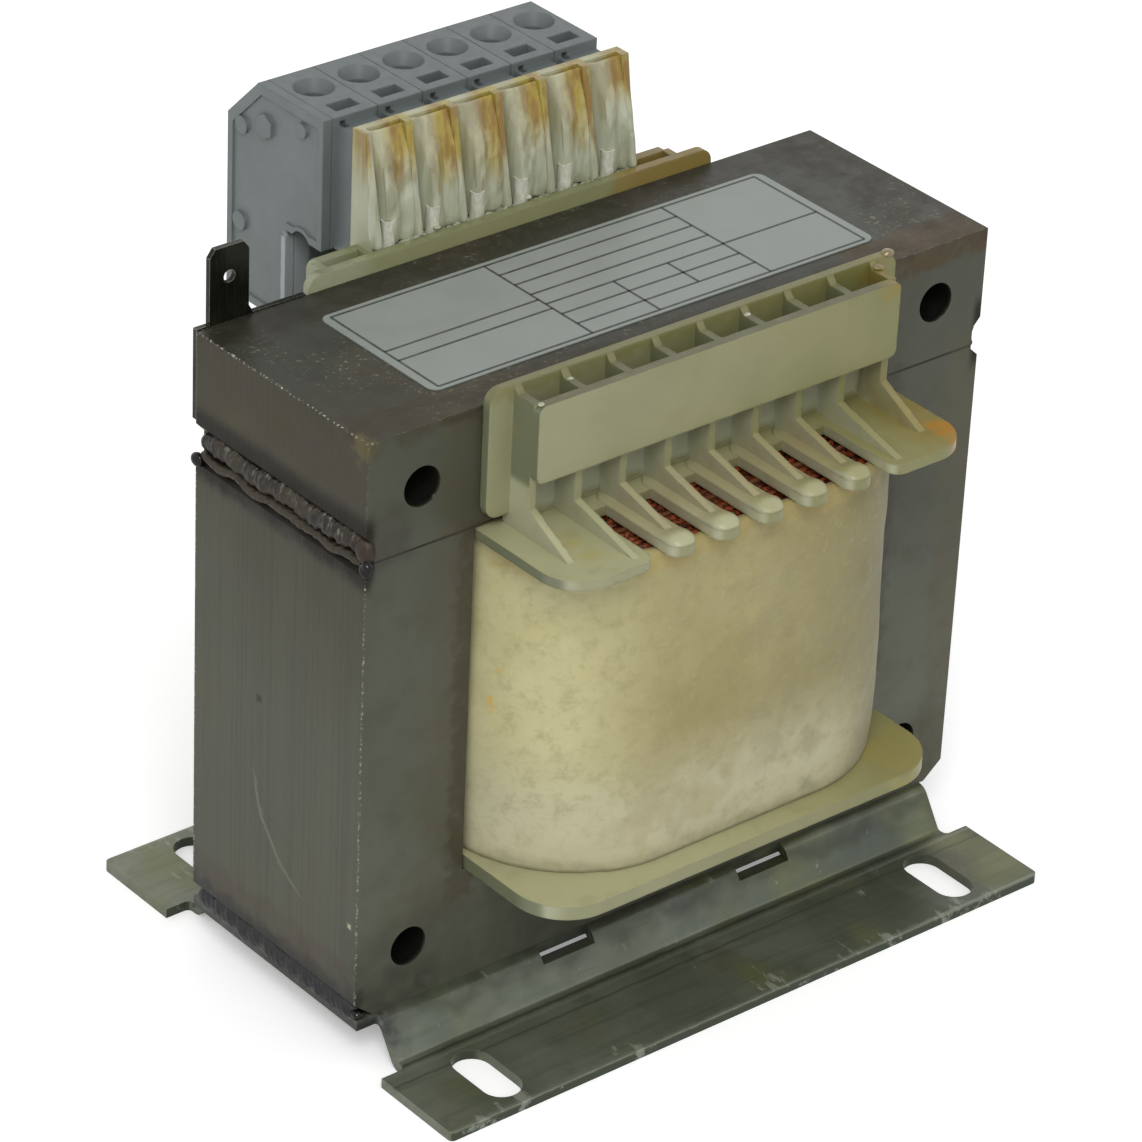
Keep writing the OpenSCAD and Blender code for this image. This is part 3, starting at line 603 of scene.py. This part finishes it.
# painted reflection: the plate's colour is darkened as if it mirrored dark surroundings
colour = shade(cloud, 0.35, 0.7, (38, 37, 30), (62, 62, 52))
# painted highlights on the thin edges
edge = use(tree, rim, {"Reach": 0.18 * mm})
colour = lay(colour, edge["Mask"], (196, 198, 190), 0.75)
surface(shader, colour, hair, 0.20, 0.38)
relief(shader, hair, 0.01 * mm)
dress(tab_mat, "earth_tab_plate")

# ------------------------------ bobbin
# One moulding of glass-filled nylon: two flanges, and on each side of the core a
# frame of open cells with gusset ribs. Cream, half clear, stained by the varnish.

nylon_mat, tree, shader = finish_of("bobbin_nylon", Coat_Weight=0.2, Coat_Roughness=0.2)
place = where(tree)
x, _, z = axes(place)
face_way = axes(put(tree, "NewGeometry").outputs["Normal"])
cloud = noise(place, 70.0, 3.0)
# darker towards the right: partly the nylon's own tone, partly painted shade
left_tone = shade(cloud, 0.3, 0.7, (138, 138, 105), (146, 145, 112))
right_tone = shade(cloud, 0.3, 0.7, (112, 113, 60), (122, 120, 70))
colour = blend(ramp(x, -30 * mm, 36 * mm, kind="LINEAR"), left_tone, right_tone)
# painted light: the flat, up-facing parts low on the bobbin are lighter, less so to the right
laid = times(ramp(face_way[2], 0.3, 0.8), ramp(z, 81 * mm, 79 * mm))
lit = shade(x, -10 * mm, 30 * mm, (176, 175, 136), (144, 138, 90))
colour = blend(times(laid, 0.75), colour, lit)
rims = times(ramp(face_way[2], 0.3, 0.8), ramp(z, 90 * mm, 94 * mm))
colour = lay(colour, rims, (78, 76, 40), 0.9)
# painted shade: the rib sides that face along X are darkened
walls = ramp(calc("ABSOLUTE", face_way[0]), 0.5, 0.9)
# painted light: the rib sides in the sheltered lower cells are lightened, as light through the half-clear nylon
# would
sheltered = ramp(z, 84.5 * mm, 83 * mm)
inner_walls = times(walls, sheltered, ramp(calc("ABSOLUTE", x), 34 * mm, 33 * mm))
walls = calc("SUBTRACT", walls, inner_walls)
colour = lay(colour, inner_walls, (176, 177, 150), 0.7)
colour = lay(colour, walls, (90, 98, 76), 0.7)
colour = lay(colour, ramp(noise(place, 260.0, 4.0), 0.5, 0.75), (124, 120, 82), 0.25)
# painted highlights on the rounded edges
edge = use(tree, rim, {"Reach": 0.45 * mm})
colour = lay(colour, edge["Mask"], (168, 168, 124), 0.3)
colour = stains_and_painted_light(place, colour, [
    ((28, -27, 93), (34, -17, 98), 1.2, 1.8, (132, 112, 30), 0.6),
    ((28, -36, 75), (36, -22, 78), 1.8, 1.6, (140, 118, 52), 0.5),
    ((31.5, -38, 75), (36, -30.5, 77), 1.2, 1.0, (176, 122, 24), 0.85),
    ((-18, -33, 75.5), (18, -22, 79), 2.0, 1.5, (158, 134, 102), 0.35),
    ((26, -28, 77), (33, -19, 84), 1.5, 1.8, (128, 116, 62), 0.45),
    ((24, -40, 24), (36, -28, 27), 2.0, 2.4, (150, 138, 70), 0.6),
    ((-36, -21, 95.2), (36, -17, 98), 0.8, 0.8, (118, 116, 66), 0.6),
    ((-36, 17, 74), (36, 26, 80), 1.5, 1.5, (104, 92, 52), 0.4),
    ((-36, 17, 88), (-24, 26, 98), 1.5, 1.0, (164, 168, 140), 0.6),
    ((-26, 17, 94), (20, 26, 98), 2.0, 1.0, (142, 146, 104), 0.6),
    ((18, 17, 82), (36, 26, 98), 1.5, 2.2, (142, 112, 44), 0.6),
    # painted light: the back plate inside the lower cells is lightened against its shade
    ((-29, -20.2, 77.5), (29, -19.0, 84.6), 1.0, 0.3, (186, 190, 170), 0.75),
    ((-29, -33, 76.4), (-25, -25, 78), 0.8, 0.8, (170, 158, 84), 0.5),
])
surface(shader, colour, noise(place, 350.0), 0.32, 0.46)
relief(shader, noise(place, 500.0, 3.0), 0.04 * mm, edge["Normal"])
dress(nylon_mat, "bobbin")

# the rounded backs of the fingers, from inside the back plate to their tips
cell = 7.5 * mm
finger_root, finger_tip, finger_back, finger_half = 19.2 * mm, 37.22 * mm, 76.38 * mm, 2.12 * mm


def finger_crown(name, x_mid, y_root, y_tip, level, half_width, side):
    """The rounded back of a finger: a low dome from its root to a tip that swells into half a ball.

    The half width follows a circle round the tip, and the lower half of the section stays inside
    the flange."""
    rows, columns = 70, 32
    t = np.linspace(0, 1, rows) ** 0.8
    along = y_root + (y_tip - y_root) * t
    from_tip = np.clip((along - (y_tip - half_width)) / half_width, 0, 1)
    circle = np.sqrt(np.clip(1 - from_tip ** 2, 0, 1))
    width = half_width * circle * np.clip(t * 9, 0, 1) ** 0.5
    swell = 0.45 + 0.85 * np.exp(-((along - (y_tip - half_width)) / (0.9 * half_width)) ** 2)
    height = swell * mm * circle * np.clip(t * 6, 0, 1) ** 0.5
    around = turns_of(columns)
    below = 0.3 * mm * np.clip(width / half_width, 0, 1)
    lift = np.where(np.sin(around) > 0, height[:, None], below[:, None])
    x = x_mid + width[:, None] * np.cos(around)
    y = side * along[:, None] + 0 * around
    points = np.stack([x, y, level + lift * np.sin(around)], axis=-1)
    return skin(name, points, nylon_mat, "bobbin_plastic")


for k in range(5):
    for name, side in (("front", -1), ("rear", 1)):
        finger_crown("finger_crown_%s_%d" % (name, k + 1), (k - 2) * cell, finger_root, finger_tip,
            finger_back, finger_half, side)

# ------------------------------ windings
# Enamelled copper wire wound in layers round the tube. Only the top ends of the
# layers show, in the wire slots of the upper flange: varnished, deep red brown.


def outline(half_x, half_y, corner, count):
    """Points evenly spaced along a rectangle with round corners.

    They run anticlockwise from the middle of the rear side."""
    arc = np.linspace(0, np.pi / 2, 24)
    centres = [(1, 1, 0), (-1, 1, 1), (-1, -1, 2), (1, -1, 3)]
    bends = [np.stack([sx * (half_x - corner) + corner * np.cos(arc + k * np.pi / 2),
                       sy * (half_y - corner) + corner * np.sin(arc + k * np.pi / 2)], axis=1)
             for sx, sy, k in centres]
    loop = np.concatenate(bends[1:] + bends[:1])
    loop = np.concatenate([[[0.0, half_y]], loop, [[0.0, half_y]]])
    step = np.concatenate([[0], np.cumsum(np.hypot(*np.diff(loop, axis=0).T))])
    even = np.linspace(0, step[-1], count, endpoint=False)
    return np.stack([np.interp(even, step, loop[:, 0]), np.interp(even, step, loop[:, 1])], axis=1)


def outward(loop):
    """Unit normals of a closed flat loop, pointing out, from the neighbours of each point."""
    ahead_of = np.roll(loop, -1, axis=0) - np.roll(loop, 1, axis=0)
    normal = np.stack([ahead_of[:, 1], -ahead_of[:, 0]], axis=1)
    return normal / np.linalg.norm(normal, axis=1, keepdims=True)


def wire_layers(name, node, sizes, wire, z_top, z_low):
    """Rings of round wire, two rows deep, on a plain body that fills the rest of the winding.

    A ring runs along the rounded outline of its layer and sways a little up and down.
    sizes is a list of half width, half depth and corner radius, from the inside out."""
    steps, sides, half = 150, 8, wire / 2
    points, faces, start = [], [], 0
    for k, (half_x, half_y, corner) in enumerate(sizes):
        loop = outline(half_x, half_y, corner, steps)
        across = np.column_stack([outward(loop), np.zeros(steps)])[:, None, :]
        turn_at = np.linspace(0, 1, steps, endpoint=False)
        for row in range(2):
            sway = 0.10 * mm * np.sin(2 * np.pi * (turn_at * (3 + k % 3) + 0.37 * k + 0.2 * row))
            lift = z_top - half - row * wire * 0.93 + sway - 0.05 * mm * (k % 2)
            centre = np.column_stack([loop, lift])
            ring = swept_tube(centre, np.full((steps, sides), half), across, np.array([0, 0, 1.0]))
            points.append(ring.reshape(-1, 3))
            faces.append(grid_faces(steps, sides, loop_rows=True) + start)
            start += steps * sides
    inner, outer, shelf = sizes[0], sizes[-1], z_top - 1.6 * wire
    rows = [(inner, -half, z_low), (outer, half, z_low), (outer, half, shelf), (inner, -half, shelf)]
    body = [np.column_stack([outline(s[0] + d, s[1] + d, s[2] + d, steps), np.full(steps, h)])
            for s, d, h in rows]
    points.append(np.concatenate(body))
    faces.append(grid_faces(len(rows), steps, loop_rows=True) + start)
    piece = mesh_piece(name, np.concatenate(points), np.concatenate(faces), copper_mat)
    return seated(piece, "copper_wire", node)


copper_mat, tree, shader = finish_of("enamelled_copper", Metallic=0.3, Coat_Weight=0.25, Coat_Roughness=0.15)
place = where(tree)
cloud = noise(place, 700.0, 3.0)
colour = shade(cloud, 0.35, 0.65, (64, 26, 11), (144, 66, 27))
colour = lay(colour, ramp(noise(place, 1800.0, 2.0), 0.50, 0.64), (28, 11, 8))
surface(shader, colour, cloud, 0.22, 0.42)
relief(shader, noise(place, 1500.0, 2.0), 0.04 * mm)


def layers_between(inside, outside, count, corner):
    """Half width, half depth and corner radius of evenly spaced layers between two rounded outlines."""
    at = (np.arange(count) + 0.5)[:, None] / count
    half = inside + (outside - inside) * at
    round_off = corner[0] + (corner[1] - corner[0]) * at[:, 0]
    return [(*h, r) for h, r in zip(half, round_off)]


coil_low, coil_high = (np.array(corner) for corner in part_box("inner_winding"))
outer_low, outer_high = (np.array(corner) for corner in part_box("outer_winding"))
film_high = np.array(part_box("winding_insulation")[1])
core_side = coil_high[:2] - 6.8 * mm
inner_sizes = layers_between(core_side, coil_high[:2], 6, (1.3 * mm, 8 * mm))
outer_sizes = layers_between(film_high[:2], outer_high[:2], 5, (8.6 * mm, 19.4 * mm))
wire_layers("copper_turns_inner", "inner_winding", inner_sizes, 1.13 * mm, coil_high[2], coil_low[2])
wire_layers("copper_turns_outer", "outer_winding", outer_sizes, 1.16 * mm, outer_high[2], outer_low[2])

film_mat, tree, shader = finish_of("winding_film", Coat_Weight=0.5, Coat_Roughness=0.15)
place = where(tree)
colour = blend(noise(place, 400.0), tone(84, 44, 24), tone(112, 66, 36))
surface(shader, colour, noise(place, 600.0), 0.35, 0.5)
dress(film_mat, "winding_insulation")

# ------------------------------ wrap
# Several turns of cream insulating paper round the coil, soaked in varnish: softly
# uneven, with one lapped end near the front left corner and brown, mottled patches.


def rolling(seed, turn_at, height_at, waves, steps=26):
    """Smooth random relief, a sum of waves whole in number round the coil, between about -1 and 1."""
    rng = np.random.default_rng(seed)
    round_it = rng.integers(-waves, waves + 1, steps)
    up_it = rng.uniform(-waves / 4, waves / 4, steps)
    phase = rng.uniform(0, 2 * np.pi, steps)
    angle = 2 * np.pi * (turn_at[..., None] * round_it + height_at[..., None] * up_it) + phase
    return np.sum(np.sin(angle), axis=-1) / np.sqrt(steps / 2)


wrap_mat, tree, shader = finish_of("paper_wrap", Sheen_Weight=0.1)
place = where(tree)
x, y, z = axes(place)
cloud = noise(place, 42.0, 3.0, 0.6)
fleck = noise(place, 420.0, 4.0, 0.7)
colour = shade(cloud, 0.36, 0.66, (157, 148, 101), (145, 134, 84))
# lighter on the left and darker to the right, most at the front: partly the paper's own tone, partly painted
# light and shade
left_part = shade(cloud, 0.36, 0.66, (190, 185, 140), (182, 175, 126))
right_part = shade(cloud, 0.36, 0.66, (114, 106, 64), (98, 92, 56))
colour = blend(ramp(x, -14 * mm, -30 * mm), colour, left_part)
shaded = times(ramp(x, 0 * mm, 32 * mm), ramp(y, -12 * mm, -24 * mm, 0.45, 1.0))
colour = blend(shaded, colour, right_part)
low_part = times(ramp(z, 48 * mm, 34 * mm), ramp(x, 30 * mm, 12 * mm))
colour = lay(colour, low_part, (184, 180, 150), 0.8)
colour = lay(colour, ramp(fleck, 0.46, 0.74), (136, 127, 86), 0.4)
colour = lay(colour, ramp(noise(place, 900.0, 2.0), 0.56, 0.75), (178, 170, 130), 0.2)
slant = stretched(place, (0.45, 0.45, 1.0), (0.3, 0.2, 0.0))
fibre = noise(slant, 1500.0, 2.0, 0.65)
colour = lay(colour, ramp(fibre, 0.5, 0.78), (130, 120, 80), 0.14)
mottle = ramp(noise(place, 150.0, 3.0, 0.7), 0.50, 0.66)
colour = lay(colour, times(mottle, ramp(x, -10 * mm, 18 * mm)), (118, 112, 84), 0.4)
colour = stains_and_painted_light(place, colour, [
    ((2, -36, 38), (30, -30, 66), 6.0, 5.0, (134, 127, 92), 0.4),
    ((-30, -36, 26), (-12, -24, 34), 2.0, 3.0, (190, 184, 150), 0.5),
    ((-20, -36, 30), (-2, -30, 42), 2.0, 4.0, (150, 140, 96), 0.4),
    ((-36, -20, 24), (-33.0, 20, 76), 2.5, 2.0, (190, 186, 146), 0.5),
    ((-34.5, -23.0, 55.2), (-33.2, -21.4, 57.4), 0.4, 0.6, (206, 160, 56), 0.8),
    ((-34.5, -22.2, 49.2), (-33.0, -20.6, 51.6), 0.4, 0.6, (206, 156, 52), 0.8),
    ((-35, -35, 26), (35, 35, 28), 1.0, 1.2, (140, 136, 104), 0.5),
    ((-34, -36, 72), (34, -20, 76), 1.0, 1.6, (164, 144, 82), 0.5),
])
surface(shader, colour, fleck, 0.55, 0.75)
relief(shader, calc("ADD", fleck, times(fibre, 0.4)), 0.08 * mm)

wrap_low, wrap_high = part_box("outer_wrap")
count, levels = 420, 84
turn_at = np.linspace(0, 1, count, endpoint=False)[:, None]
height_at = np.linspace(0, 1, levels)[None, :]
loop = outline(wrap_high[0], wrap_high[1], 20.0 * mm, count)
away = outward(loop)
lap_at, lap_step, paper = 0.405, 0.22 * mm, 0.9 * mm
lap = lap_step * (turn_at > lap_at + 0.004 * np.sin(9 * height_at)) * np.clip((0.75 - turn_at) / 0.3, 0, 1)
every_turn, every_height = turn_at + 0 * height_at, height_at + 0 * turn_at
puff = 0.22 * mm * rolling(71, every_turn, every_height, 6)
puff = puff + 0.06 * mm * rolling(72, every_turn, every_height, 30, 60)
belly = 0.35 * mm * np.sin(np.pi * height_at) ** 0.7
proud = puff * np.sin(np.pi * height_at) ** 0.3 + belly + lap - 0.15 * mm
frayed = 0.12 * mm * rolling(73, turn_at[:, 0], 0 * turn_at[:, 0], 40, 40)
outer_xy = loop[:, None, :] + away[:, None, :] * proud[..., None]
outer_z = wrap_low[2] + height_at * (wrap_high[2] - wrap_low[2] - 0.12 * mm)
outer_z = outer_z + frayed[:, None] * (height_at ** 8)
inner_xy = outline(wrap_high[0] - paper, wrap_high[1] - paper, 19.1 * mm, count)
shell = np.concatenate([
    np.dstack([outer_xy, outer_z]),
    np.concatenate([inner_xy, outer_z[:, -1:]], axis=1)[:, None, :],
    np.concatenate([inner_xy, outer_z[:, :1]], axis=1)[:, None, :]], axis=1)
skin("paper_wrap", shell, wrap_mat, "wrap", "outer_wrap", loop_rows=True)

# ------------------------------ wire guide
# A comb of half-clear moulding behind the yoke: a wall with fins, with the lead
# wires, their sleeves and the solder pins in its channels, dipped in varnish.

# varnish soaked in beside the fins: a mask that fades downwards, and upright streaks
soak, soak_in, soak_out = new_group("varnish_soak", [("Place", "Vector", None)],
    [("Amber", "Float"), ("Streak", "Float")])
soak_x, _, soak_z = axes(soak_in["Place"])
phase = calc("FRACT", calc("DIVIDE", calc("ADD", soak_x, 3 * cell), cell))
beside = calc("MAXIMUM", ramp(phase, 0.35, 0.72), ramp(phase, 0.14, 0.04))
streak = noise(stretched(soak_in["Place"], (1.0, 1.0, 0.10)), 760.0, 3.0)
patch = noise(stretched(soak_in["Place"], (1.0, 0.3, 0.25)), 210.0, 2.0)
height = calc("ADD", soak_z, times(patch, 17 * mm))
height = calc("ADD", height, times(calc("SUBTRACT", streak, 0.5), 9 * mm))
amber = times(ramp(height, 109 * mm, 117 * mm), calc("ADD", 0.25, times(beside, 0.75)))
soak.links.new(amber, soak_out["Amber"])
soak.links.new(streak, soak_out["Streak"])

comb_mat, tree, shader = finish_of("comb_moulding", Coat_Weight=0.3, Coat_Roughness=0.2)
place = where(tree)
soaked = use(tree, soak, {"Place": place})
cloud = noise(place, 130.0, 3.0)
colour = shade(cloud, 0.3, 0.7, (176, 179, 154), (161, 163, 134))
amber = shade(soaked["Streak"], 0.38, 0.62, (160, 145, 52), (136, 106, 20))
colour = blend(times(soaked["Amber"], 0.85), colour, amber)
# painted highlights on the rounded edges
edge = use(tree, rim, {"Reach": 0.3 * mm})
colour = lay(colour, edge["Mask"], (182, 172, 142), 0.25)
surface(shader, colour, cloud, 0.25, 0.42)
relief(shader, noise(place, 700.0, 3.0), 0.04 * mm, edge["Normal"])
dress(comb_mat, "wire_comb")

resin_mat, tree, shader = finish_of("varnish_amber", Coat_Weight=0.7, Coat_Roughness=0.08)
place = where(tree)
soaked = use(tree, soak, {"Place": place})
clear = shade(soaked["Streak"], 0.35, 0.65, (178, 181, 158), (156, 158, 132))
amber = shade(soaked["Streak"], 0.38, 0.62, (160, 140, 34), (132, 98, 8))
colour = stains_and_painted_light(place, blend(soaked["Amber"], clear, amber), [
    ((26, -26, 90), (37, -17, 99), 1.0, 0.3, (112, 92, 30), 0.9)])
surface(shader, colour, soaked["Streak"], 0.12, 0.30)
relief(shader, noise(place, 600.0, 2.0), 0.03 * mm)

sleeve_mat, tree, shader = finish_of("lead_sleeve", Coat_Weight=0.3, Coat_Roughness=0.2)
place = where(tree)
braid = noise(stretched(place, (1.0, 1.0, 0.4)), 2600.0, 2.0)
surface(shader, shade(braid, 0.35, 0.65, (210, 210, 198), (190, 188, 168)), braid, 0.4, 0.6)
relief(shader, braid, 0.06 * mm)
dress(sleeve_mat, "lead_sleeves")
dress(resin_mat, "lead_wires")


def resin_body(name, x_low, x_high, z_low, z_high, wall_y, seed):
    """Varnish set in a channel of the guide: a closed skin from the wall to a moulded face.

    The face is thin on the left, stands out over the lead, dips, and climbs the next fin on the
    right. It stands further out downwards, as the fins do."""
    across, down = 48, 60
    u = np.linspace(0, 1, across)[:, None]
    v = np.linspace(0, 1, down)[None, :]
    z = z_low + (z_high - z_low) * v + 0 * u
    reach = (1.2 + 3.1 * (1 - v)) * mm
    lead = 0.40 + 0.04 * wander(seed, v, 1.5)
    step = np.clip((u - 0.10) / (lead - 0.10), 0, 1)
    step = step * step * (3 - 2 * step)
    dip = 1 - 0.20 * np.exp(-((u - 0.72 - 0.04 * wander(seed + 1, v, 1.5)) / 0.13) ** 2)
    lumps = 1 + 0.05 * wander(seed + 2, v * 1.3 + u * 0.4, 2) + 0.02 * wander(seed + 3, v * 2 - u, 3)
    body = 0.35 * mm + reach * step * dip * lumps * (0.55 + 0.45 * np.clip((1 - v) * 3.5, 0, 1) ** 0.7)
    front_y = wall_y - body * np.sin(np.pi * np.clip(v * 0.96 + 0.02, 0, 1)) ** 0.12
    x = x_low + (x_high - x_low) * u + 0 * v
    front = np.stack([x, front_y, z], axis=-1)
    back = np.stack([x, np.full_like(z, wall_y + 0.05 * mm), z], axis=-1)
    back[:, [0, -1]] = front[:, [0, -1]]
    loop = np.concatenate([front, back[:, ::-1]], axis=1)
    up, edge_y = np.array([0, 0, 1]), wall_y + 0.04 * mm
    loop[0] = np.array([x_low, edge_y, 0]) + up * loop[0][:, 2:]
    loop[-1] = np.array([x_high + 0.1 * mm, edge_y, 0]) + up * loop[-1][:, 2:]
    return skin(name, loop, resin_mat, "comb_plastic")


def resin_web(name, top, foot, slim, wide, seed):
    """Varnish along a fin's front edge: a strip with rounded corners, wider at its foot than at its top.

    Slim and wide are its half sizes along X and Y at the top and at the foot, in mm as the points are."""
    rows, columns = 60, 28
    t = np.linspace(0, 1, rows)
    top, foot, slim, wide = (np.array(size) * mm for size in (top, foot, slim, wide))
    centre = foot[None, :] + (top - foot)[None, :] * t[:, None]
    around = turns_of(columns)
    swell = 1 + 0.07 * wander(seed, t[:, None] * 2 + 0.1 * np.cos(around), 2)
    close = np.sqrt(np.clip(1 - np.abs(2 * t - 1) ** 16, 0, 1))[:, None]
    square_x = np.sign(np.cos(around)) * np.abs(np.cos(around)) ** 0.45
    half_x = (wide[0] + (slim[0] - wide[0]) * t)[:, None] * close
    half_y = (wide[1] + (slim[1] - wide[1]) * t)[:, None] * swell * close
    section = np.stack([half_x * square_x, half_y * np.sin(around), 0 * half_x * around], axis=-1)
    return skin(name, centre[:, None, :] + section, resin_mat, "comb_plastic")


def resin_pool(name, x_low, x_high, y_low, y_high, level, seed):
    """Varnish set in the bottom of a cell: a slab whose top is lumpy and climbs at its four sides."""
    across, deep = 30, 24
    u = np.linspace(0, 1, across)[:, None]
    v = np.linspace(0, 1, deep)[None, :]
    climb = 0.8 * np.abs(2 * u - 1) ** 6 + 1.1 * v ** 7 + 0.3 * (1 - v) ** 6
    z = level + mm * (climb + 0.25 * wander(seed, u * 2 + v, 2) + 0.15 * wander(seed + 1, v * 2 - u, 3))
    x = x_low + (x_high - x_low) * u + 0 * v
    y = y_low + (y_high - y_low) * v + 0 * u
    crown = np.stack([x, y, z], axis=-1)
    under = np.stack([x, y, np.full_like(z, level - 0.8 * mm)], axis=-1)
    under[:, [0, -1]] = crown[:, [0, -1]]
    under[[0, -1]] = crown[[0, -1]]
    loop = np.concatenate([crown, under[:, ::-1]], axis=1)
    return skin(name, loop, resin_mat, "comb_plastic")


comb_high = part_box("wire_comb")[1]
comb_wall = comb_high[1] - 1.2 * mm
comb_rim, body_foot = comb_high[2] - 0.3 * mm, 96.1 * mm
plate_face, pool_level = 19.66 * mm, 95.9 * mm
for k in range(6):
    left = (k - 3) * cell + 0.45 * mm + (0.1 * mm if k == 0 else 0)
    right = left + cell - 0.9 * mm - (0.1 * mm if k == 5 else 0)
    resin_body("varnish_channel_%d" % (k + 1), left, right, body_foot, comb_rim, comb_wall, 80 + 5 * k)
    resin_pool("varnish_pool_%d" % (k + 1), left, right, plate_face, comb_wall, pool_level, 240 + 5 * k)
wall = comb_wall / mm
for k, fin_x in enumerate((-21.8, -15, -7.5, 0, 7.5, 15, 21.8)):
    resin_web("varnish_fin_%d" % (k + 1), (fin_x, wall - 1.25, 111.9), (fin_x, wall - 3.6, 96.2),
        (0.5, 0.2), (0.68, 1.15), 300 + 5 * k)
beads = [
    ((33.2, -19.2, 96.8), 0.8), ((30.4, -20.4, 96.0), 0.7), ((3.8, 20.6, 96.9), 0.5),
    ((18.6, 21.2, 96.9), 0.6), ((-12, 20.2, 97.0), 0.5), ((-22.5, -21.0, 95.8), 0.4),
    ((7.5, -20.6, 95.8), 0.45), ((-29.8, -24.2, 95.8), 0.4)]
for k, (centre, size) in enumerate(beads):
    drop("varnish_bead_%d" % (k + 1), centre, size, resin_mat, "comb_plastic", 160 + k, (1.2, 1.0, 0.6))

# ------------------------------ terminals
# Six narrow housings of grey moulding side by side with a closing plate, with a
# spring and a current bar in each. Satin, with softly rounded edges.

grey_mat, tree, shader = finish_of("terminal_grey", Coat_Weight=0.1, Coat_Roughness=0.3)
place = where(tree)
cloud = noise(place, 90.0, 3.0)
colour = shade(cloud, 0.3, 0.7, (100, 108, 107), (108, 116, 115))
face_way = axes(put(tree, "NewGeometry").outputs["Normal"])
# painted shade: the up-facing faces are darker
colour = lay(colour, ramp(face_way[2], 0.4, 0.8), (91, 98, 98))
# painted light: the front face of the end leg is lightened out of its shade
colour = stains_and_painted_light(place, colour, [((-26, 33, 70), (-20, 38.5, 92), 0.3, 0.1, (158, 166, 170), 0.9)])
# painted highlights on the rounded edges
edge = use(tree, rim, {"Reach": 0.35 * mm})
colour = lay(colour, edge["Mask"], (132, 140, 140), 0.35)
surface(shader, colour, noise(place, 500.0), 0.36, 0.5)
relief(shader, noise(place, 1800.0, 3.0), 0.015 * mm, edge["Normal"])
dress(grey_mat, "terminal_end_plate", *("terminal_%d" % (k + 1) for k in range(6)))

spring_mat, tree, shader = finish_of("spring_strip", Metallic=1.0)
place = where(tree)
colour = blend(noise(place, 600.0), tone(150, 150, 146), tone(186, 186, 182))
surface(shader, colour, noise(place, 1200.0), 0.22, 0.36)
dress(spring_mat, "clamp_springs", "current_bars")

# ------------------------------ label
# A rating label of silver-grey film stuck on the yoke. It is left without words:
# only the printed frame and the empty lines of its table.

label_mat, tree, shader = finish_of("label_film", Coat_Weight=0.2, Coat_Roughness=0.3)
place = where(tree)
cloud = noise(place, 120.0, 3.0)
colour = shade(cloud, 0.3, 0.7, (127, 134, 128), (134, 141, 135))
surface(shader, colour, cloud, 0.38, 0.5)
relief(shader, noise(place, 1500.0, 3.0), 0.01 * mm)
dress(label_mat, "rating_label")

print_mat, tree, shader = finish_of("label_print")
place = where(tree)
worn = ramp(noise(place, 900.0, 4.0), 0.35, 0.75)
surface(shader, blend(worn, tone(44, 48, 44), tone(78, 82, 76)), worn, 0.45, 0.6, low=0.0, high=1.0)


def bars(rows, z_low, z_high):
    """Closed flat bars: a row is low x, low y, high x, high y in millimetres. Returns points and faces."""
    rows = np.array(rows) * mm
    lows, highs = rows[:, :2], rows[:, 2:]
    corner = np.array([[0, 0], [1, 0], [1, 1], [0, 1]])
    flat = lows[:, None, :] + (highs - lows)[:, None, :] * corner[None]
    points = np.concatenate([np.dstack([flat, np.full(flat.shape[:2], h)]) for h in (z_low, z_high)], axis=1)
    cube = np.array([[0, 3, 2, 1], [4, 5, 6, 7], [0, 1, 5, 4], [1, 2, 6, 5], [2, 3, 7, 6], [3, 0, 4, 7]])
    return points.reshape(-1, 3), (cube[None] + 8 * np.arange(len(rows))[:, None, None]).reshape(-1, 4)


# the printed lines in mm: their width, the frame, and the columns that part the table
label_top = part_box("rating_label")[1][2]
line = 0.38
frame_x, frame_y, frame_top = 36.2, -11.4, 11.3
column, last_column = -10.9, 19.6
flat_lines = [(-frame_x, frame_x, y) for y in (frame_y, frame_top)]
flat_lines += [(-frame_x, column, y) for y in (-0.2, -3.1)]
flat_lines += [(column, last_column, y) for y in (8.1, 4.8, 1.5, -1.7, -5.0, -8.2)]
flat_lines += [(last_column, frame_x, -1.6)]
upright_lines = [(x, frame_y, frame_top) for x in (-frame_x, column, last_column, frame_x)]
upright_lines += [(0.5, frame_y, -1.7), (9.8, -8.2, -1.7)]
rows = [(a, y - line / 2, b, y + line / 2) for a, b, y in flat_lines]
rows += [(x - line / 2, a, x + line / 2, b) for x, a, b in upright_lines]
points, faces = bars(rows, label_top - 0.01 * mm, label_top + 0.02 * mm)
seated(mesh_piece("label_lines", points, faces, print_mat, smooth=False), "label_film")
